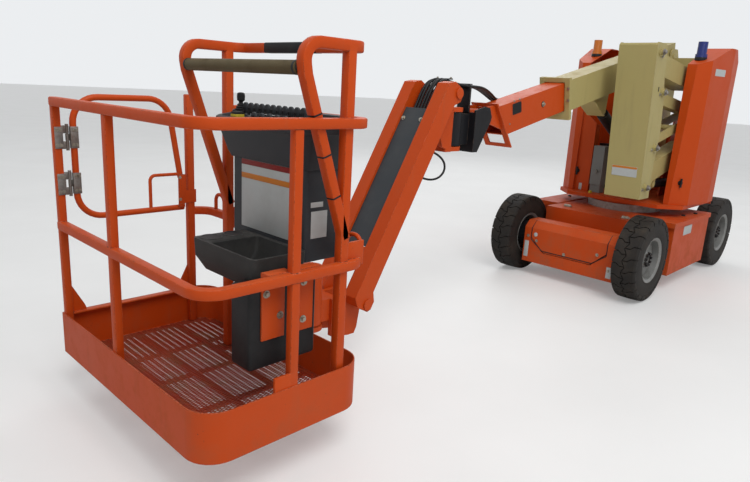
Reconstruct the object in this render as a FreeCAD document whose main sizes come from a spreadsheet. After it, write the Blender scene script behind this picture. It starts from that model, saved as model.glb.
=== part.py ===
import FreeCAD, Part
import math
import os
import Sketcher
from FreeCAD import Placement, Rotation, Vector

# Articulating boom lift, millimetres, +Z up, +X towards the platform, +Y to the machine's left.
# All places are measured from the slew axis on the ground; the last step moves the whole
# machine back so that the origin lies under the middle of its outline.

# Driving sizes: alias, value. Every length is in millimetres and every slope in degrees.
SIZES = (
    ("slew_back", 1689),        # slew axis behind the middle of the outline
    ("plate", 12),              # weldment plate
    ("play", 0.3),              # gap between faces that meet on different bodies
    ("side_play", 5),           # gap between faces that pass each other
    ("pin_radius", 20),
    ("pin_play", 0.5),
    # chassis
    ("wheelbase", 1650),
    ("wheel_centre_y", 521),
    ("tyre_radius", 317.5),
    ("tyre_width", 178),
    ("bead_radius", 156),
    ("rim_flange_radius", 172),
    ("rim_wall", 6),
    ("hub_radius", 62),
    ("spindle_radius", 26),
    ("belly_z", 112),
    ("deck_z", 545),
    ("deck_front_x", 650),
    ("deck_rear_x", 455),
    ("chassis_half", 388),
    ("nose_half", 225),
    ("nose_rear_x", 960),
    ("end_rear_x", 775),
    ("end_front_x", 970),
    ("end_top_z", 455),
    ("end_bevel", 55),
    ("cover_half", 320),
    ("cover_low_half", 200),
    ("cover_knee_z", 320),
    ("cover_low_z", 212),
    ("cover_depth", 60),
    ("cover_gap", 5),
    ("box_rear_x", 395),
    ("box_front_x", 430),
    ("box_out_y", 600),
    ("box_low_z", 123),
    ("lid_z", 512),
    ("lid_top_z", 550),
    ("lid_lip", 10),
    ("motor_radius", 105),
    ("motor_in_y", 400),
    ("motor_out_y", 478),
    ("kingpin_y", 448),
    ("kingpin_radius", 24),
    ("axle_half_height", 45),
    ("axle_half_width", 50),
    ("track_arm", 100),
    # turntable
    ("bearing_radius", 300),
    ("bearing_top_z", 604),
    ("table_z", 618),
    ("table_top_z", 649.7),
    ("table_front_x", 300),
    ("table_rear_x", 660),
    ("table_half", 545),
    ("table_corner", 150),
    ("tower_plate_in_y", 190),
    ("tower_plate_out_y", 390),
    ("tower_plate_rear_x", 520),
    ("tower_plate_front_x", 300),
    ("tower_plate_top_z", 1440),
    ("weight_rear_x", 655),
    ("weight_front_x", 585),
    ("weight_half", 320),
    ("weight_top_z", 1180),
    # hoods
    ("hood_wall", 6),
    ("hood_low_z", 650),
    ("hood_top_z", 1905),
    ("hood_brow_z", 1760),
    ("hood_brow_x", 170),
    ("hood_ridge_x", 200),
    ("hood_in_y", 400),
    ("hood_front_x", 203),
    ("hood_cheek_y", 480),
    ("hood_side_x", 85),
    ("hood_side_y", 555),
    ("hood_out_x", 260),
    ("hood_out_y", 602),
    ("hood_rear_x", 450),
    ("hood_rear_y", 500),
    ("apron_in_y", 270),
    ("apron_top_z", 1250),
    ("apron_slope", 110),
    ("beacon_x", 55),
    ("beacon_y", 450),
    ("beacon_radius", 36),
    ("beacon_height", 118),
    # tower
    ("lower_arm_length", 1203.5),
    ("lower_arm_slope", 12),
    ("lower_pin_x", 777),
    ("lower_pin_z", 837),
    ("lower_link_x", 720),
    ("lower_link_z", 1129),
    ("upper_arm_length", 1251),
    ("upper_arm_slope", 7),
    ("upper_pin_x", 882),
    ("upper_pin_z", 1796),
    ("upper_link_x", 739),
    ("upper_link_z", 1527),
    ("upright_right_y", 180),
    ("upright_left_y", 450),
    ("upright_wall", 10),
    ("upright_low_z", 750),
    ("upright_top_z", 1840),
    ("upright_low_x", 845),
    ("upright_top_x", 955),
    ("tower_y", 290),
    ("lower_arm_width", 128),
    ("upper_arm_width", 166),
    ("upper_arm_top", 42),
    ("upper_arm_drop", 112),
    ("link_height", 66),
    ("upper_link_height", 88),
    ("upper_link_width", 80),
    ("head_plate_gap", 88),
    ("head_plate", 10),
    # main boom, its own axes start at its pivot and run along it
    ("boom_y", -30),
    ("boom_pivot_x", -420),
    ("boom_pivot_z", 1860),
    ("boom_slope", 12.5),
    ("base_height", 212),
    ("base_width", 170),
    ("base_wall", 6),
    ("base_length", 1850),
    ("base_tail", 60),
    ("fly_height", 190),
    ("fly_width", 148),
    ("fly_wall", 8),
    ("fly_start", 200),
    ("fly_mouth_top", 2700),
    ("fly_mouth_low", 2562),
    ("mouth_rim_top", 122),
    ("mouth_rim_drop", 180),
    ("mouth_rim", 12),
    ("mouth_side", 22),
    ("ear_gap", 200),
    ("boom_eye_x", 1190),
    ("boom_eye_drop", 222),
    ("boom_foot_x", -430),
    ("column_half", 90),
    ("column_wall", 12),
    ("column_rear_x", 572),
    ("column_front_x", 350),
    ("column_low_z", 740),
    ("column_top_z", 1920),
    ("boom_foot_z", 800),
    # boom nose and jib
    ("nose_pin_x", 2330),
    ("nose_pin_z", 1327),
    ("nose_low_x", 2462),
    ("nose_low_z", 1122),
    ("swing_x", 2560),
    ("swing_low_z", 1120),
    ("swing_top_z", 1366),
    ("swing_radius", 62),
    ("jib_pin_x", 2715),
    ("jib_pin_z", 1443),
    ("jib_slope", 60),
    ("jib_length", 1225),
    ("jib_link_dx", 23),
    ("jib_link_dz", -148),
    ("jib_gap", 160),
    ("jib_tube_width", 80),
    ("jib_tube_depth", 105),
    ("jib_ear_gap", 100),
    ("jib_ear", 25),
    ("jib_eye_radius", 40),
    ("jib_cylinder_x", 800),
    ("jib_cylinder_rise", 40),
    # platform
    ("turn_x", 3585),
    ("turn_low_z", 300),
    ("turn_top_z", 560),
    ("turn_radius", 70),
    ("platform_rear_x", 3780),
    ("platform_depth", 741),
    ("platform_width", 1219),
    ("platform_corner", 115),
    ("floor_z", 193),
    ("toe_top_z", 384),
    ("toe_wall", 5),
    ("mid_rail_z", 773),
    ("top_rail_z", 1302),
    ("rail", 38),
    ("front_post_y", -85),
    ("side_post_x", 4143),
    ("rear_post_x", 3872),
    ("hoop_top_z", 1585),
    ("hoop_front_x", 4105),
    ("hoop_rear_x", 3836),
    ("bar_radius", 24),
    ("gate_tube", 28),
    ("gate_low_z", 802),
    ("gate_top_z", 1338),
    ("gate_gap", 8),
    ("hinge_x", 4456),
)

doc = FreeCAD.newDocument("boom_lift")
sheet = doc.addObject("Spreadsheet::Sheet", "Sizes")
for row, (alias, value) in enumerate(SIZES, 1):
    sheet.set("A%d" % row, alias)
    sheet.set("B%d" % row, str(value))
    sheet.setAlias("B%d" % row, alias)
doc.recompute()


class Dim:
    """A length and the spreadsheet expression that gives it."""

    def __init__(self, value, text):
        self.value = float(value)
        self.text = text

    def __float__(self):
        return self.value

    def __add__(self, other):
        other = dim(other)
        return Dim(self.value + other.value, "(%s + %s)" % (self.text, other.text))

    __radd__ = __add__

    def __neg__(self):
        return Dim(-self.value, "(-1 * %s)" % self.text)

    def __sub__(self, other):
        other = dim(other)
        return Dim(self.value - other.value, "(%s - %s)" % (self.text, other.text))

    def __rsub__(self, other):
        return dim(other) - self

    def __mul__(self, other):
        other = dim(other)
        return Dim(self.value * other.value, "(%s * %s)" % (self.text, other.text))

    __rmul__ = __mul__

    def __truediv__(self, other):
        other = dim(other)
        return Dim(self.value / other.value, "(%s / %s)" % (self.text, other.text))

    def __lt__(self, other):
        return self.value < float(other)


def dim(number):
    return number if isinstance(number, Dim) else Dim(number, "%.6f" % float(number))


class Sizes:
    """The sheet's cells by name, as lengths that remember their cell."""

    def __getattr__(self, alias):
        return Dim(float(sheet.get(alias)), "Sizes." + alias)


S = Sizes()
HOLD = {}          # finished sub-parts by label


def bind(obj, prop, length):
    length = dim(length)
    obj.setExpression(prop, length.text)


def box(x0, x1, y0, y1, z0, z1, name="block"):
    obj = doc.addObject("Part::Box", name)
    for prop, low, high in (("Length", x0, x1), ("Width", y0, y1), ("Height", z0, z1)):
        bind(obj, prop, dim(high) - low)
    for axis, low in (("x", x0), ("y", y0), ("z", z0)):
        bind(obj, "Placement.Base." + axis, low)
    return obj


def rod_y(x, z, radius, y0, y1, name="pin"):
    """Round bar along Y."""
    obj = doc.addObject("Part::Cylinder", name)
    obj.Placement = Placement(Vector(0, 0, 0), Rotation(Vector(1, 0, 0), -90))
    bind(obj, "Radius", radius)
    bind(obj, "Height", dim(y1) - y0)
    for axis, low in (("x", x), ("y", y0), ("z", z)):
        bind(obj, "Placement.Base." + axis, low)
    return obj


def rod_z(x, y, radius, z0, z1, name="post"):
    """Round bar along Z."""
    obj = doc.addObject("Part::Cylinder", name)
    bind(obj, "Radius", radius)
    bind(obj, "Height", dim(z1) - z0)
    for axis, low in (("x", x), ("y", y), ("z", z0)):
        bind(obj, "Placement.Base." + axis, low)
    return obj


def rod_x(y, z, radius, x0, x1, name="bar"):
    """Round bar along X."""
    obj = doc.addObject("Part::Cylinder", name)
    obj.Placement = Placement(Vector(0, 0, 0), Rotation(Vector(0, 1, 0), 90))
    bind(obj, "Radius", radius)
    bind(obj, "Height", dim(x1) - x0)
    for axis, low in (("x", x0), ("y", y), ("z", z)):
        bind(obj, "Placement.Base." + axis, low)
    return obj


def sketch_on(body, role, name, points, offset):
    """Closed outline of straight edges, every corner tied to the sheet."""
    sketch = body.newObject("Sketcher::SketchObject", name)
    plane = [f for f in body.Origin.OriginFeatures if f.Role == role][0]
    sketch.AttachmentSupport = [(plane, "")]
    sketch.MapMode = "FlatFace"
    bind(sketch, "AttachmentOffset.Base.z", offset)
    corners = [(dim(a), dim(b)) for a, b in points]
    count = len(corners)
    edges = []
    rules = []
    for i, (a, b) in enumerate(corners):
        c, d = corners[(i + 1) % count]
        edges.append(Part.LineSegment(Vector(a.value, b.value, 0), Vector(c.value, d.value, 0)))
    for i in range(count):
        rules.append(Sketcher.Constraint("Coincident", i, 2, (i + 1) % count, 1))
    for i, (a, b) in enumerate(corners):
        rules.append(Sketcher.Constraint("DistanceX", -1, 1, i, 1, a.value))
        rules.append(Sketcher.Constraint("DistanceY", -1, 1, i, 1, b.value))
    sketch.addGeometry(edges, False)
    sketch.addConstraint(rules)
    for i, (a, b) in enumerate(corners):
        for step, length in enumerate((a, b)):
            if "Sizes." in length.text:
                sketch.setExpression("Constraints[%d]" % (count + 2 * i + step), length.text)
    return sketch


def pad(role, points, low, high, name):
    """Outline in one of the body's planes, padded between two distances from it."""
    body = doc.addObject("PartDesign::Body", name)
    # the XZ plane's normal points to -Y, the other two planes' normals along + axes
    start = -dim(high) if role == "XZ_Plane" else dim(low)
    sketch = sketch_on(body, role, name + "_outline", points, start)
    feature = body.newObject("PartDesign::Pad", name + "_pad")
    feature.Profile = sketch
    bind(feature, "Length", dim(high) - low)
    return body


def side(points, y0, y1, name="plate"):
    return pad("XZ_Plane", points, y0, y1, name)


def plan(points, z0, z1, name="plate"):
    return pad("XY_Plane", points, z0, z1, name)


def front(points, x0, x1, name="plate"):
    return pad("YZ_Plane", points, x0, x1, name)


def turned(points, name):
    """Profile (radius, place along Y) turned about the Y axis."""
    body = doc.addObject("PartDesign::Body", name)
    sketch = sketch_on(body, "XY_Plane", name + "_profile", points, dim(0))
    feature = body.newObject("PartDesign::Revolution", name + "_turn")
    feature.Profile = sketch
    feature.ReferenceAxis = (sketch, ["V_Axis"])
    feature.Angle = 360
    return body


def fuse(parts, name="union"):
    if len(parts) == 1:
        return parts[0]
    obj = doc.addObject("Part::MultiFuse", name)
    obj.Shapes = parts
    return obj


def cut(base, tools, name="cut"):
    obj = doc.addObject("Part::Cut", name)
    obj.Base = base
    obj.Tool = fuse(tools, name + "_tools")
    return obj


def common(one, other, name="common"):
    obj = doc.addObject("Part::Common", name)
    obj.Base = one
    obj.Tool = other
    return obj


def raw(shape, name):
    """A shape made with Part's own functions, from sizes read from the sheet."""
    obj = doc.addObject("Part::Feature", name)
    obj.Shape = shape
    return obj


def keep(label, obj, at=None):
    """Names a finished sub-part and sets it in the machine, moved back to the outline's middle."""
    if obj.TypeId in ("Part::Box", "Part::Cylinder"):
        raise ValueError("a bound block keeps its own place: " + label)
    obj.Label = label
    place = at if at is not None else Placement()
    home = Placement(Vector(-S.slew_back.value, 0, 0), Rotation())
    obj.Placement = home * place * obj.Placement
    HOLD[label] = obj


def tilted(x, z, slope, y=0):
    """Axes that start at a pin and run forward, down by the slope in degrees."""
    return Placement(Vector(float(x), float(y), float(z)), Rotation(Vector(0, 1, 0), float(slope)))


def along(x, z, slope, run, rise):
    """Machine place of a point given in tilted axes."""
    angle = math.radians(float(slope))
    c, s = math.cos(angle), math.sin(angle)
    return float(x) + float(run) * c + float(rise) * s, float(z) - float(run) * s + float(rise) * c


def sideways(points):
    """Mirror image of plan points on the machine's right side."""
    return [(x, -dim(y)) for x, y in points]


# Wheels: industrial rubber tyre on a dished steel rim, same on all four corners
def tyre(label, x, y):
    half = S.tyre_width / 2
    profile = [(S.bead_radius, -half + 18), (S.bead_radius + 12, -half + 13),
               (S.tyre_radius * 0.78, -half), (S.tyre_radius - 16, -half + 4),
               (S.tyre_radius, -half + 20), (S.tyre_radius, half - 20),
               (S.tyre_radius - 16, half - 4), (S.tyre_radius * 0.78, half),
               (S.bead_radius + 12, half - 13), (S.bead_radius, half - 18)]
    keep(label, turned(profile, label), Placement(Vector(x, y, S.tyre_radius.value), Rotation()))


def rim(label, x, y):
    half = S.tyre_width / 2
    outside = S.bead_radius - S.play
    inside = outside - S.rim_wall
    profile = [(S.spindle_radius + S.pin_play, -30), (S.hub_radius, -30), (S.hub_radius, 6),
               (inside - 14, 20), (inside, 0), (inside, -half + 14),
               (S.rim_flange_radius, -half + 2), (S.rim_flange_radius, -half + 8),
               (outside, -half + 15), (outside, half - 15),
               (S.rim_flange_radius, half - 8), (S.rim_flange_radius, half - 2),
               (inside, half - 14), (inside, 22), (inside - 14, 28), (S.hub_radius, 14),
               (S.hub_radius, 44), (S.hub_radius - 12, 52), (S.spindle_radius + S.pin_play, 52)]
    facing = Rotation(Vector(0, 0, 1), 0 if y > 0 else 180)
    keep(label, turned(profile, label), Placement(Vector(x, y, S.tyre_radius.value), facing))


axle_x = S.wheelbase / 2
for end, x in (("front", axle_x.value), ("rear", -axle_x.value)):
    for hand, sign in (("left", 1), ("right", -1)):
        place_y = sign * S.wheel_centre_y.value
        tyre("tyre_%s_%s" % (end, hand), x, place_y)
        rim("rim_%s_%s" % (end, hand), x, place_y)


# Chassis: welded box, wide at the drive end, narrow between the steered wheels
def bevel_profile(back):
    top = S.end_top_z
    return [(back, S.belly_z), (S.end_front_x, S.belly_z), (S.end_front_x, top - S.end_bevel),
            (S.end_front_x - S.end_bevel, top), (back, top)]


def cover_outline(grow):
    return [(-S.cover_half - grow, S.end_top_z + 40), (-S.cover_half - grow, S.cover_knee_z - grow),
            (-S.cover_low_half - grow, S.cover_low_z - grow),
            (S.cover_low_half + grow, S.cover_low_z - grow),
            (S.cover_half + grow, S.cover_knee_z - grow), (S.cover_half + grow, S.end_top_z + 40)]


deck = box(-S.deck_rear_x, S.deck_front_x, -S.chassis_half, S.chassis_half, S.belly_z, S.deck_z)
steer_nose = box(-S.nose_rear_x, -S.deck_rear_x, -S.nose_half, S.nose_half, S.belly_z + 20, S.deck_z - 30)
drive_neck = box(S.deck_front_x, S.end_rear_x, -S.cover_half, S.cover_half, S.belly_z, 400)
end_box = side(bevel_profile(S.end_rear_x), -S.chassis_half, S.chassis_half, "drive_end")
recess = front(cover_outline(S.cover_gap), S.end_front_x - S.cover_depth, S.end_front_x + 20, "cover_recess")
axle_slot = box(-axle_x - S.axle_half_width, -axle_x + S.axle_half_width, -S.nose_half - 5, S.nose_half + 5,
                S.tyre_radius - S.axle_half_height, S.tyre_radius + S.axle_half_height)
tie_slot = box(-768, -703, -S.nose_half - 5, S.nose_half + 5, 258, 308)
keep("chassis_frame", cut(fuse([deck, steer_nose, drive_neck, end_box], "chassis_mass"),
                          [recess, axle_slot, tie_slot], "chassis_frame"))

cover_block = front(cover_outline(0), S.end_front_x - S.cover_depth, S.end_front_x + 20, "cover_block")
keep("end_cover", common(cover_block, side(bevel_profile(S.end_front_x - S.cover_depth),
                                           -S.cover_half - 1, S.cover_half + 1, "cover_bevel"), "end_cover"))


def both_sides(make):
    return fuse([make(1), make(-1)])


def side_box(sign, x0, x1, y0, y1, z0, z1):
    low, high = (dim(y0), dim(y1)) if sign > 0 else (-dim(y1), -dim(y0))
    return box(x0, x1, low, high, z0, z1)


keep("battery_boxes", both_sides(lambda sign: side_box(
    sign, -S.box_rear_x, S.box_front_x, S.chassis_half, S.box_out_y, S.box_low_z, S.lid_z)))
keep("battery_lids", both_sides(lambda sign: side_box(
    sign, -S.box_rear_x - S.lid_lip, S.box_front_x + 27, S.chassis_half, S.box_out_y + S.lid_lip,
    S.lid_z, S.lid_top_z)))

keep("slew_bearing", cut(rod_z(0, 0, S.bearing_radius, S.deck_z, S.bearing_top_z),
                         [rod_z(0, 0, S.bearing_radius - 90, S.deck_z - 1, S.bearing_top_z + 1)]))


def drive_motor(sign):
    low, high = sorted((sign * (S.chassis_half.value + 0.3), sign * S.motor_out_y.value))
    tip = sorted((sign * S.motor_out_y.value, sign * (S.wheel_centre_y.value + 40)))
    return fuse([rod_y(axle_x, S.tyre_radius, S.motor_radius, low, high, "motor_can"),
                 rod_y(axle_x, S.tyre_radius, S.spindle_radius, tip[0], tip[1], "motor_shaft")])


keep("drive_motors", both_sides(drive_motor))

# Steered axle: beam through the narrow end, a knuckle on a kingpin at each end, one tie rod
jaws = []
for sign in (1, -1):
    for z0, z1 in ((S.tyre_radius - 75, S.tyre_radius - 50), (S.tyre_radius + 50, S.tyre_radius + 75)):
        jaws.append(side_box(sign, -axle_x - 32, -axle_x + 32, S.kingpin_y - 100, S.kingpin_y + 28, z0, z1))
    jaws.append(rod_z(-axle_x, sign * S.kingpin_y.value, S.kingpin_radius, S.tyre_radius - 82, S.tyre_radius + 82))
    jaws.append(side_box(sign, -axle_x - 45, -axle_x + 45, S.kingpin_y - 110, S.kingpin_y - 70,
                         S.tyre_radius - 75, S.tyre_radius + 75))
beam_short = box(-axle_x - S.axle_half_width, -axle_x + S.axle_half_width, -S.kingpin_y + 75,
                 S.kingpin_y - 75, S.tyre_radius - S.axle_half_height, S.tyre_radius + S.axle_half_height)
keep("rear_axle", fuse([beam_short] + jaws, "rear_axle"))


def knuckle(label, sign):
    y = sign * S.kingpin_y.value
    body = fuse([rod_z(-axle_x, y, S.kingpin_radius + 18, S.tyre_radius - 49.5, S.tyre_radius + 49.5),
                 rod_y(-axle_x, S.tyre_radius, S.spindle_radius,
                       *sorted((y, sign * (S.wheel_centre_y.value + 40)))),
                 rod_y(-axle_x, S.tyre_radius, 48, *sorted((y + sign * 20, sign * (S.wheel_centre_y.value - 31)))),
                 box(-axle_x, -axle_x + S.track_arm, y - 14, y + 14,
                     S.tyre_radius - 12, S.tyre_radius + 12)])
    bore = rod_z(-axle_x, y, S.kingpin_radius + S.pin_play, S.tyre_radius - 90, S.tyre_radius + 90)
    keep(label, cut(body, [bore], label))


knuckle("knuckle_left", 1)
knuckle("knuckle_right", -1)

tie_z = S.tyre_radius - 34
keep("tie_rod", fuse([
    rod_y(-axle_x + S.track_arm, tie_z, 14, -S.kingpin_y, S.kingpin_y),
    rod_z(-axle_x + S.track_arm, S.kingpin_y, 20, tie_z - 18, tie_z + 21.7),
    rod_z(-axle_x + S.track_arm, -S.kingpin_y, 20, tie_z - 18, tie_z + 21.7)], "tie_rod"))


# Turntable: round plate on the bearing, tower plates on the left, boom plane in the middle
def octagon(x0, x1, half, corner):
    return [(x0 + corner, -half), (x1 - corner, -half), (x1, -half + corner), (x1, half - corner),
            (x1 - corner, half), (x0 + corner, half), (x0, half - corner), (x0, -half + corner)]


def tower_y(offset_low, offset_high, sign=1):
    """Range across the tower's middle plane, mirrored for sign -1."""
    low, high = sorted((sign * float(offset_low), sign * float(offset_high)))
    return S.tower_y + low, S.tower_y + high


lower_rear_x, lower_rear_z = along(S.lower_pin_x, S.lower_pin_z, S.lower_arm_slope,
                                   -S.lower_arm_length.value, 0)
link_rear_x, link_rear_z = along(S.lower_link_x, S.lower_link_z, S.lower_arm_slope,
                                 -S.lower_arm_length.value, 0)
upper_rear_x, upper_rear_z = along(S.upper_pin_x, S.upper_pin_z, -S.upper_arm_slope.value,
                                   -S.upper_arm_length.value, 0)
top_link_x, top_link_z = along(S.upper_link_x, S.upper_link_z, -S.upper_arm_slope.value,
                               -S.upper_arm_length.value, 0)
tower_foot_x, tower_foot_z = -360, 780
tower_eye_run, tower_eye_rise = 750, -120

frame_parts = [
    rod_z(0, 0, S.bearing_radius - 10, S.bearing_top_z + S.play, S.table_z + 1),
    plan(octagon(-S.table_rear_x, S.table_front_x, S.table_half, S.table_corner),
         S.table_z, S.table_top_z, "table_plate")]
for sign in (1, -1):
    y0, y1 = tower_y(88, 100, sign)
    frame_parts.append(side([(-S.tower_plate_rear_x, S.table_top_z - 1), (-S.tower_plate_front_x + 60, S.table_top_z - 1),
                             (-S.tower_plate_front_x, 1130), (-S.tower_plate_front_x - 60, S.tower_plate_top_z),
                             (-S.tower_plate_rear_x, S.tower_plate_top_z)], y0, y1, "tower_plate"))
    y0, y1 = tower_y(66, 90, sign)
    frame_parts.append(rod_y(link_rear_x, link_rear_z, S.pin_radius, y0, y1))
    y0, y1 = tower_y(31, 43, sign)
    frame_parts.append(side([(tower_foot_x - 60, S.table_top_z - 1), (tower_foot_x + 60, S.table_top_z - 1),
                             (tower_foot_x + 35, tower_foot_z + 20), (tower_foot_x, tower_foot_z + 36),
                             (tower_foot_x - 35, tower_foot_z + 20)], y0, y1, "cylinder_foot"))
frame_parts.append(rod_y(lower_rear_x, lower_rear_z, S.pin_radius, *tower_y(-100, 100)))
frame_parts.append(rod_y(tower_foot_x, tower_foot_z, S.pin_radius, *tower_y(-43, 43)))
frame_parts.append(box(-S.tower_plate_rear_x, -S.tower_plate_rear_x + 12, *tower_y(-90, 90),
                       S.table_top_z - 1, 980))
for sign in (1, -1):
    low = S.hood_in_y + 5 if sign > 0 else S.apron_in_y
    frame_parts.append(side_box(sign, -S.hood_rear_x - 16, -S.hood_rear_x - 6, low, S.hood_out_y - 30,
                                S.table_z, 1760))
keep("turntable_frame", fuse(frame_parts, "turntable_frame"))
keep("counterweight", plan([(-S.weight_rear_x, -S.weight_half + 60), (-S.weight_rear_x + 40, -S.weight_half),
                            (-S.weight_front_x, -S.weight_half), (-S.weight_front_x, S.weight_half),
                            (-S.weight_rear_x + 40, S.weight_half), (-S.weight_rear_x, S.weight_half - 60)],
                           S.table_top_z + S.play, S.weight_top_z, "counterweight"))
keep("ground_controls", fuse([
    box(85, 190, -255, -155, 720, 1060, "control_box"),
    box(90, 180, -250, -160, S.table_top_z + S.play, 721, "control_stand"),
    rod_x(-205, 840, 16, 189, 212, "selector_cap")], "ground_controls"))
keep("hydraulic_unit", fuse([
    box(-330, 60, -395, -275, S.table_top_z + S.play, 860, "oil_tank"),
    rod_z(-220, -335, 55, 859, 1060, "pump_motor")], "hydraulic_unit"))


# Hoods: sheet shells hinged on their rear outer edge
def hood_side(inset):
    return [(S.hood_front_x - inset, S.hood_low_z - 50), (S.hood_brow_x - inset, S.hood_brow_z - inset / 2),
            (-S.hood_ridge_x, S.hood_top_z - inset), (-S.hood_rear_x + 110, S.hood_top_z - inset),
            (-S.hood_rear_x + inset, S.hood_top_z - 110 - inset), (-S.hood_rear_x + inset, S.hood_low_z - 50)]


def hood_plan(inset, inner):
    return [(S.hood_front_x - inset, inner), (S.hood_front_x - inset, S.hood_cheek_y - 38 - inset / 2),
            (S.hood_side_x - inset / 2, S.hood_side_y - inset), (-S.hood_out_x, S.hood_out_y - inset),
            (-S.hood_rear_x + 20, S.hood_out_y - 12 - inset), (-S.hood_rear_x + inset, S.hood_rear_y),
            (-S.hood_rear_x + inset, inner)]


def hood_body(inset, inner, z0, flip, name):
    points = hood_plan(inset, inner)
    if flip:
        points = sideways(points)
        y0, y1 = -700, -200
    else:
        y0, y1 = 200, 700
    return common(plan(points, z0, S.hood_top_z + 40, name + "_plan"),
                  side(hood_side(inset), y0, y1, name + "_side"), name)


def shell(flip, name):
    """Hood open below, behind and towards the tower."""
    outer = hood_body(0, S.hood_in_y, S.hood_low_z, flip, name + "_outer")
    inner = hood_body(S.hood_wall, S.hood_in_y - 60, S.hood_low_z - 5, flip, name + "_inner")
    y0, y1 = (-700, -200) if flip else (200, 700)
    low, high = (-S.hood_rear_y, -S.hood_in_y + 60) if flip else (S.hood_in_y - 60, S.hood_rear_y)
    back = common(box(-S.hood_rear_x - 20, -S.hood_rear_x + 20, low, high, S.hood_low_z - 5, S.hood_top_z),
                  side([(x - 20, z) for x, z in hood_side(S.hood_wall)], y0, y1, name + "_back"))
    return cut(outer, [inner, back], name + "_sheet")


flange = side([(100, S.hood_low_z), (S.hood_front_x - 8, S.hood_low_z), (S.hood_brow_x - 4, 1700), (100, 1720)],
              S.hood_in_y, S.hood_in_y + S.hood_wall, "hood_return")
keep("hood_left", fuse([shell(False, "hood_left"), flange], "hood_left"))

apron = front([(-S.apron_in_y, S.hood_low_z), (-S.apron_in_y, S.apron_top_z),
               (-S.hood_in_y - 5, S.apron_top_z + S.apron_slope), (-S.hood_in_y - 5, S.hood_low_z)],
              S.hood_front_x - 30 - S.hood_wall, S.hood_front_x - 30, "apron")
apron_return = box(S.hood_front_x - 110, S.hood_front_x - 30, -S.apron_in_y - S.hood_wall, -S.apron_in_y,
                   S.hood_low_z, S.apron_top_z - 10)
bridge = box(S.hood_front_x - 46, S.hood_front_x - 18, -S.hood_in_y - 10, -S.hood_in_y, S.hood_low_z, 1340)
keep("hood_right", fuse([shell(True, "hood_right"), apron, apron_return, bridge], "hood_right"))


def slope_z(x):
    """Height of the hood's sloping roof above x."""
    run = S.hood_brow_x + S.hood_ridge_x
    return (S.hood_brow_z + (S.hood_top_z - S.hood_brow_z) * ((S.hood_brow_x - x) / run)).value


def beacon(label, x, y):
    low = slope_z(x) + 12
    base = rod_z(x, y, S.beacon_radius + 8, low, low + 24, "beacon_base")
    lens = rod_z(x, y, S.beacon_radius, low + 23, low + S.beacon_height, "beacon_lens")
    arm = box(x - 30, x + 30, y - 20, y + 20, slope_z(x) - 20, low + 1, "beacon_foot")
    whole = fuse([base, lens, arm], label + "_mass")
    solid = side(hood_side(0), -700, 700, label + "_roof")
    keep(label, cut(whole, [solid], label))


beacon("beacon_blue", S.beacon_x.value, S.beacon_y.value)
beacon("beacon_amber", -20, -S.beacon_y.value)

# Tower: lower arm and link carry the mid upright, upper arm and link carry the top upright
lower_at = tilted(lower_rear_x, lower_rear_z, S.lower_arm_slope)
length = S.lower_arm_length
bore = S.pin_radius + S.pin_play
lower_parts = [
    side([(-48, -25), (-25, -48), (150, -75), (800, -75), (880, -110), (1090, -110), (length + 10, -56),
          (length + 50, -30), (length + 56, 10), (length + 30, 45), (1080, 76), (980, 82), (140, 82),
          (-25, 48), (-48, 25)], *tower_y(-64, 64), "lower_arm_box"),
    rod_y(0, 0, 48, *tower_y(-83, 83)),
    rod_y(length, 0, 46, *tower_y(-95, 145))]
for sign in (1, -1):
    y0, y1 = tower_y(31, 43, sign)
    lower_parts.append(side([(tower_eye_run - 70, -74), (tower_eye_run - 36, tower_eye_rise - 12),
                             (tower_eye_run, tower_eye_rise - 38), (tower_eye_run + 36, tower_eye_rise - 12),
                             (tower_eye_run + 50, -74)], y0, y1, "cylinder_ear"))
    y0, y1 = tower_y(42, 52, sign)
    lower_parts.append(rod_y(tower_eye_run, tower_eye_rise, 26, y0, y1))
keep("lower_arm", cut(fuse(lower_parts, "lower_arm_mass"),
                      [rod_y(0, 0, bore, *tower_y(-90, 90)), rod_y(length, 0, bore, *tower_y(-100, 150))],
                      "lower_arm"), lower_at)

link_parts = []
for sign in (1, -1):
    y0, y1 = tower_y(71, 83, sign)
    link_parts.append(side([(-36, -20), (-20, -36), (length + 20, -36), (length + 36, -20), (length + 36, 20),
                            (length + 20, 36), (-20, 36), (-36, 20)], y0, y1, "link_bar"))
link_parts.append(rod_y(length, 0, 34, *tower_y(-95, 145)))
link_parts.append(rod_y(560, 0, 22, *tower_y(-80, 80)))
keep("lower_link", cut(fuse(link_parts, "lower_link_mass"),
                       [rod_y(0, 0, bore, *tower_y(-90, 90)), rod_y(length, 0, bore, *tower_y(-100, 150))],
                       "lower_link"), tilted(link_rear_x, link_rear_z, S.lower_arm_slope))

upright_side = [(S.upright_low_x, S.upright_low_z), (S.upright_top_x, S.upright_top_z),
                (S.upright_top_x - 20, S.upright_top_z + 18), (800, S.upright_top_z + 18),
                (773, S.upright_top_z), (746, 1660), (684, 1470), (649, 1240), (681, 960), (673, S.upright_low_z)]
upright_inside = [(S.upright_low_x - 11, S.upright_low_z - 20), (S.upright_top_x - 11, S.upright_top_z + 60),
                  (400, S.upright_top_z + 60), (400, S.upright_low_z - 20)]
upright_parts = [cut(side(upright_side, S.upright_right_y, S.upright_left_y, "upright_outer"),
                     [side(upright_inside, S.upright_right_y + S.upright_wall,
                           S.upright_left_y - S.upright_wall, "upright_inner")])]
for x, z in ((S.lower_pin_x, S.lower_pin_z), (S.lower_link_x, S.lower_link_z),
             (S.upper_link_x, S.upper_link_z), (S.upper_pin_x, S.upper_pin_z)):
    upright_parts.append(rod_y(x, z, S.pin_radius, S.upright_right_y - 6, S.upright_left_y + 22))
    upright_parts.append(rod_y(x, z, S.pin_radius + 9, S.upright_left_y - 1, S.upright_left_y + 8))
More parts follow.
